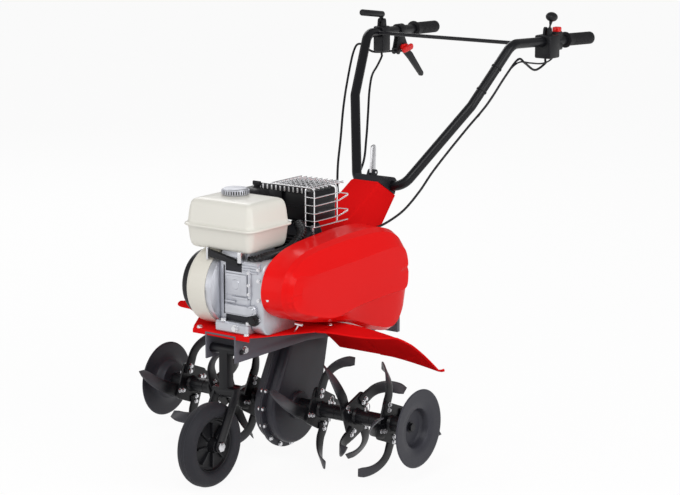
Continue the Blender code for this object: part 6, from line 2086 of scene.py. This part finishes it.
    def _stop_wire(self) -> None:
        """Wire of the stop switch, looped under its box, with the ties that hold it to the bar."""
        wire = Shop.tube(Curves.smooth(self.wire_route, 8), self.wire_radius, 4)
        dress("stop_wire", PLASTIC, Body.BAR, wire, angle=60.0)
        knee, upper, band = Vector(self.knee), Vector(self.upper), self.radius + 0.0004
        profile = [(band, -0.002), (band + 0.0012, -0.0018), (band + 0.0012, 0.0018), (band, 0.002)]
        places = [knee.lerp(upper, share) for share in self.tie_shares]
        ties = [Shop.turned(profile, place, upper - knee, 40, ring=True) for place in places]
        dress("cable_ties", PLASTIC, Body.BAR, *ties, angle=40.0)

    def _place(self, y: float, side: int) -> Vector:
        """Point on the straight upper run's centre line.

        Args:
            y: Place along.
            side: 1 for left, -1 for right.

        Returns:
            The point.
        """
        share = (y - self.upper[1]) / (self.tip[1] - self.upper[1])
        point = Vector(self.upper).lerp(Vector(self.tip), share)
        return Vector((side * point.x, point.y, point.z))

    def _grip(self, name: str, side: int) -> None:
        """Ribbed rubber grip with a flange and a closed end.

        Args:
            name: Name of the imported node.
            side: 1 for left, -1 for right.
        """
        start, end = self._place(self.grip_y, side), self._place(self.tip[1], side)
        length, radius, bore = (end - start).length + FIT, self.grip_radius, self.grip_bore
        profile = [
            (0.0, length + 0.004), (radius - 0.005, length + 0.004), (radius - 0.002, length + 0.003),
            (radius, length), (radius, length - 0.012),
        ]
        pitch, groove = (length - 0.040) / self.grip_ribs, radius - 0.0008
        for rib in range(self.grip_ribs):
            top = length - 0.014 - rib * pitch
            profile += [(groove, top), (groove, top - pitch * 0.3), (radius, top - pitch * 0.4)]
            profile += [(radius, top - pitch * 0.9)]
        profile += [
            (radius, 0.008), (radius + 0.001, 0.0055), (radius + 0.004, 0.0045), (radius + 0.0045, 0.0035),
            (radius + 0.0045, 0.001), (radius + 0.004, 0.0), (bore, 0.0), (bore, length), (0.0, length),
        ]
        grip = Shop.turned(profile, start, end - start, 56)
        stand_in(name, RUBBER, Body.BAR, grip)

    def _cables(self) -> None:
        """Control cables, each a tube along its route in place of its imported node."""
        routes = {
            "throttle_cable": self.throttle_route, "clutch_cable": self.clutch_route,
            "shift_cable": self.shift_route,
        }
        for name, route in routes.items():
            obj = Shop.tube(Curves.smooth(route, 10), self.cable_radius, 4)
            paint(obj, f"{name}_fine", PLASTIC, 60.0)
            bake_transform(obj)
            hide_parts(name)
            LOG.info("%s bends between chassis and bar", obj.name)


class HiddenDrive:
    """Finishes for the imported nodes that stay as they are."""

    FINISHES = {
        "rotor_shaft": STEEL, "input_shaft": STEEL, "drive_chain": STEEL, "drive_pulley": CAST,
        "driven_pulley": CAST, "drive_belt": RUBBER, "idler_arm": STEEL, "idler_pulley": CAST,
        "crankshaft": STEEL,
    }

    def build(self, nodes: dict[str, Piece]) -> None:
        """Give the inner nodes their materials.

        Args:
            nodes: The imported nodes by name.
        """
        for name, finish in self.FINISHES.items():
            slots = nodes[name].data.materials
            slots.clear()
            slots.append(finish.material())


def main() -> None:
    """Build the set and the machine."""
    logging.basicConfig(level=logging.INFO, format="%(name)s: %(message)s")
    for obj in list(bpy.data.objects):
        bpy.data.objects.remove(obj, do_unlink=True)
    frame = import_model()
    Studio().build()
    HiddenDrive().build(frame["nodes"])
    machine = (Rotor(), ChainCase(), FrontWheel(), Chassis(), Engine(), Tank(), BeltCover(), Handlebar())
    for assembly in machine:
        assembly.build()
        LOG.info("%s built", type(assembly).__name__)


if __name__ == "__main__":
    main()
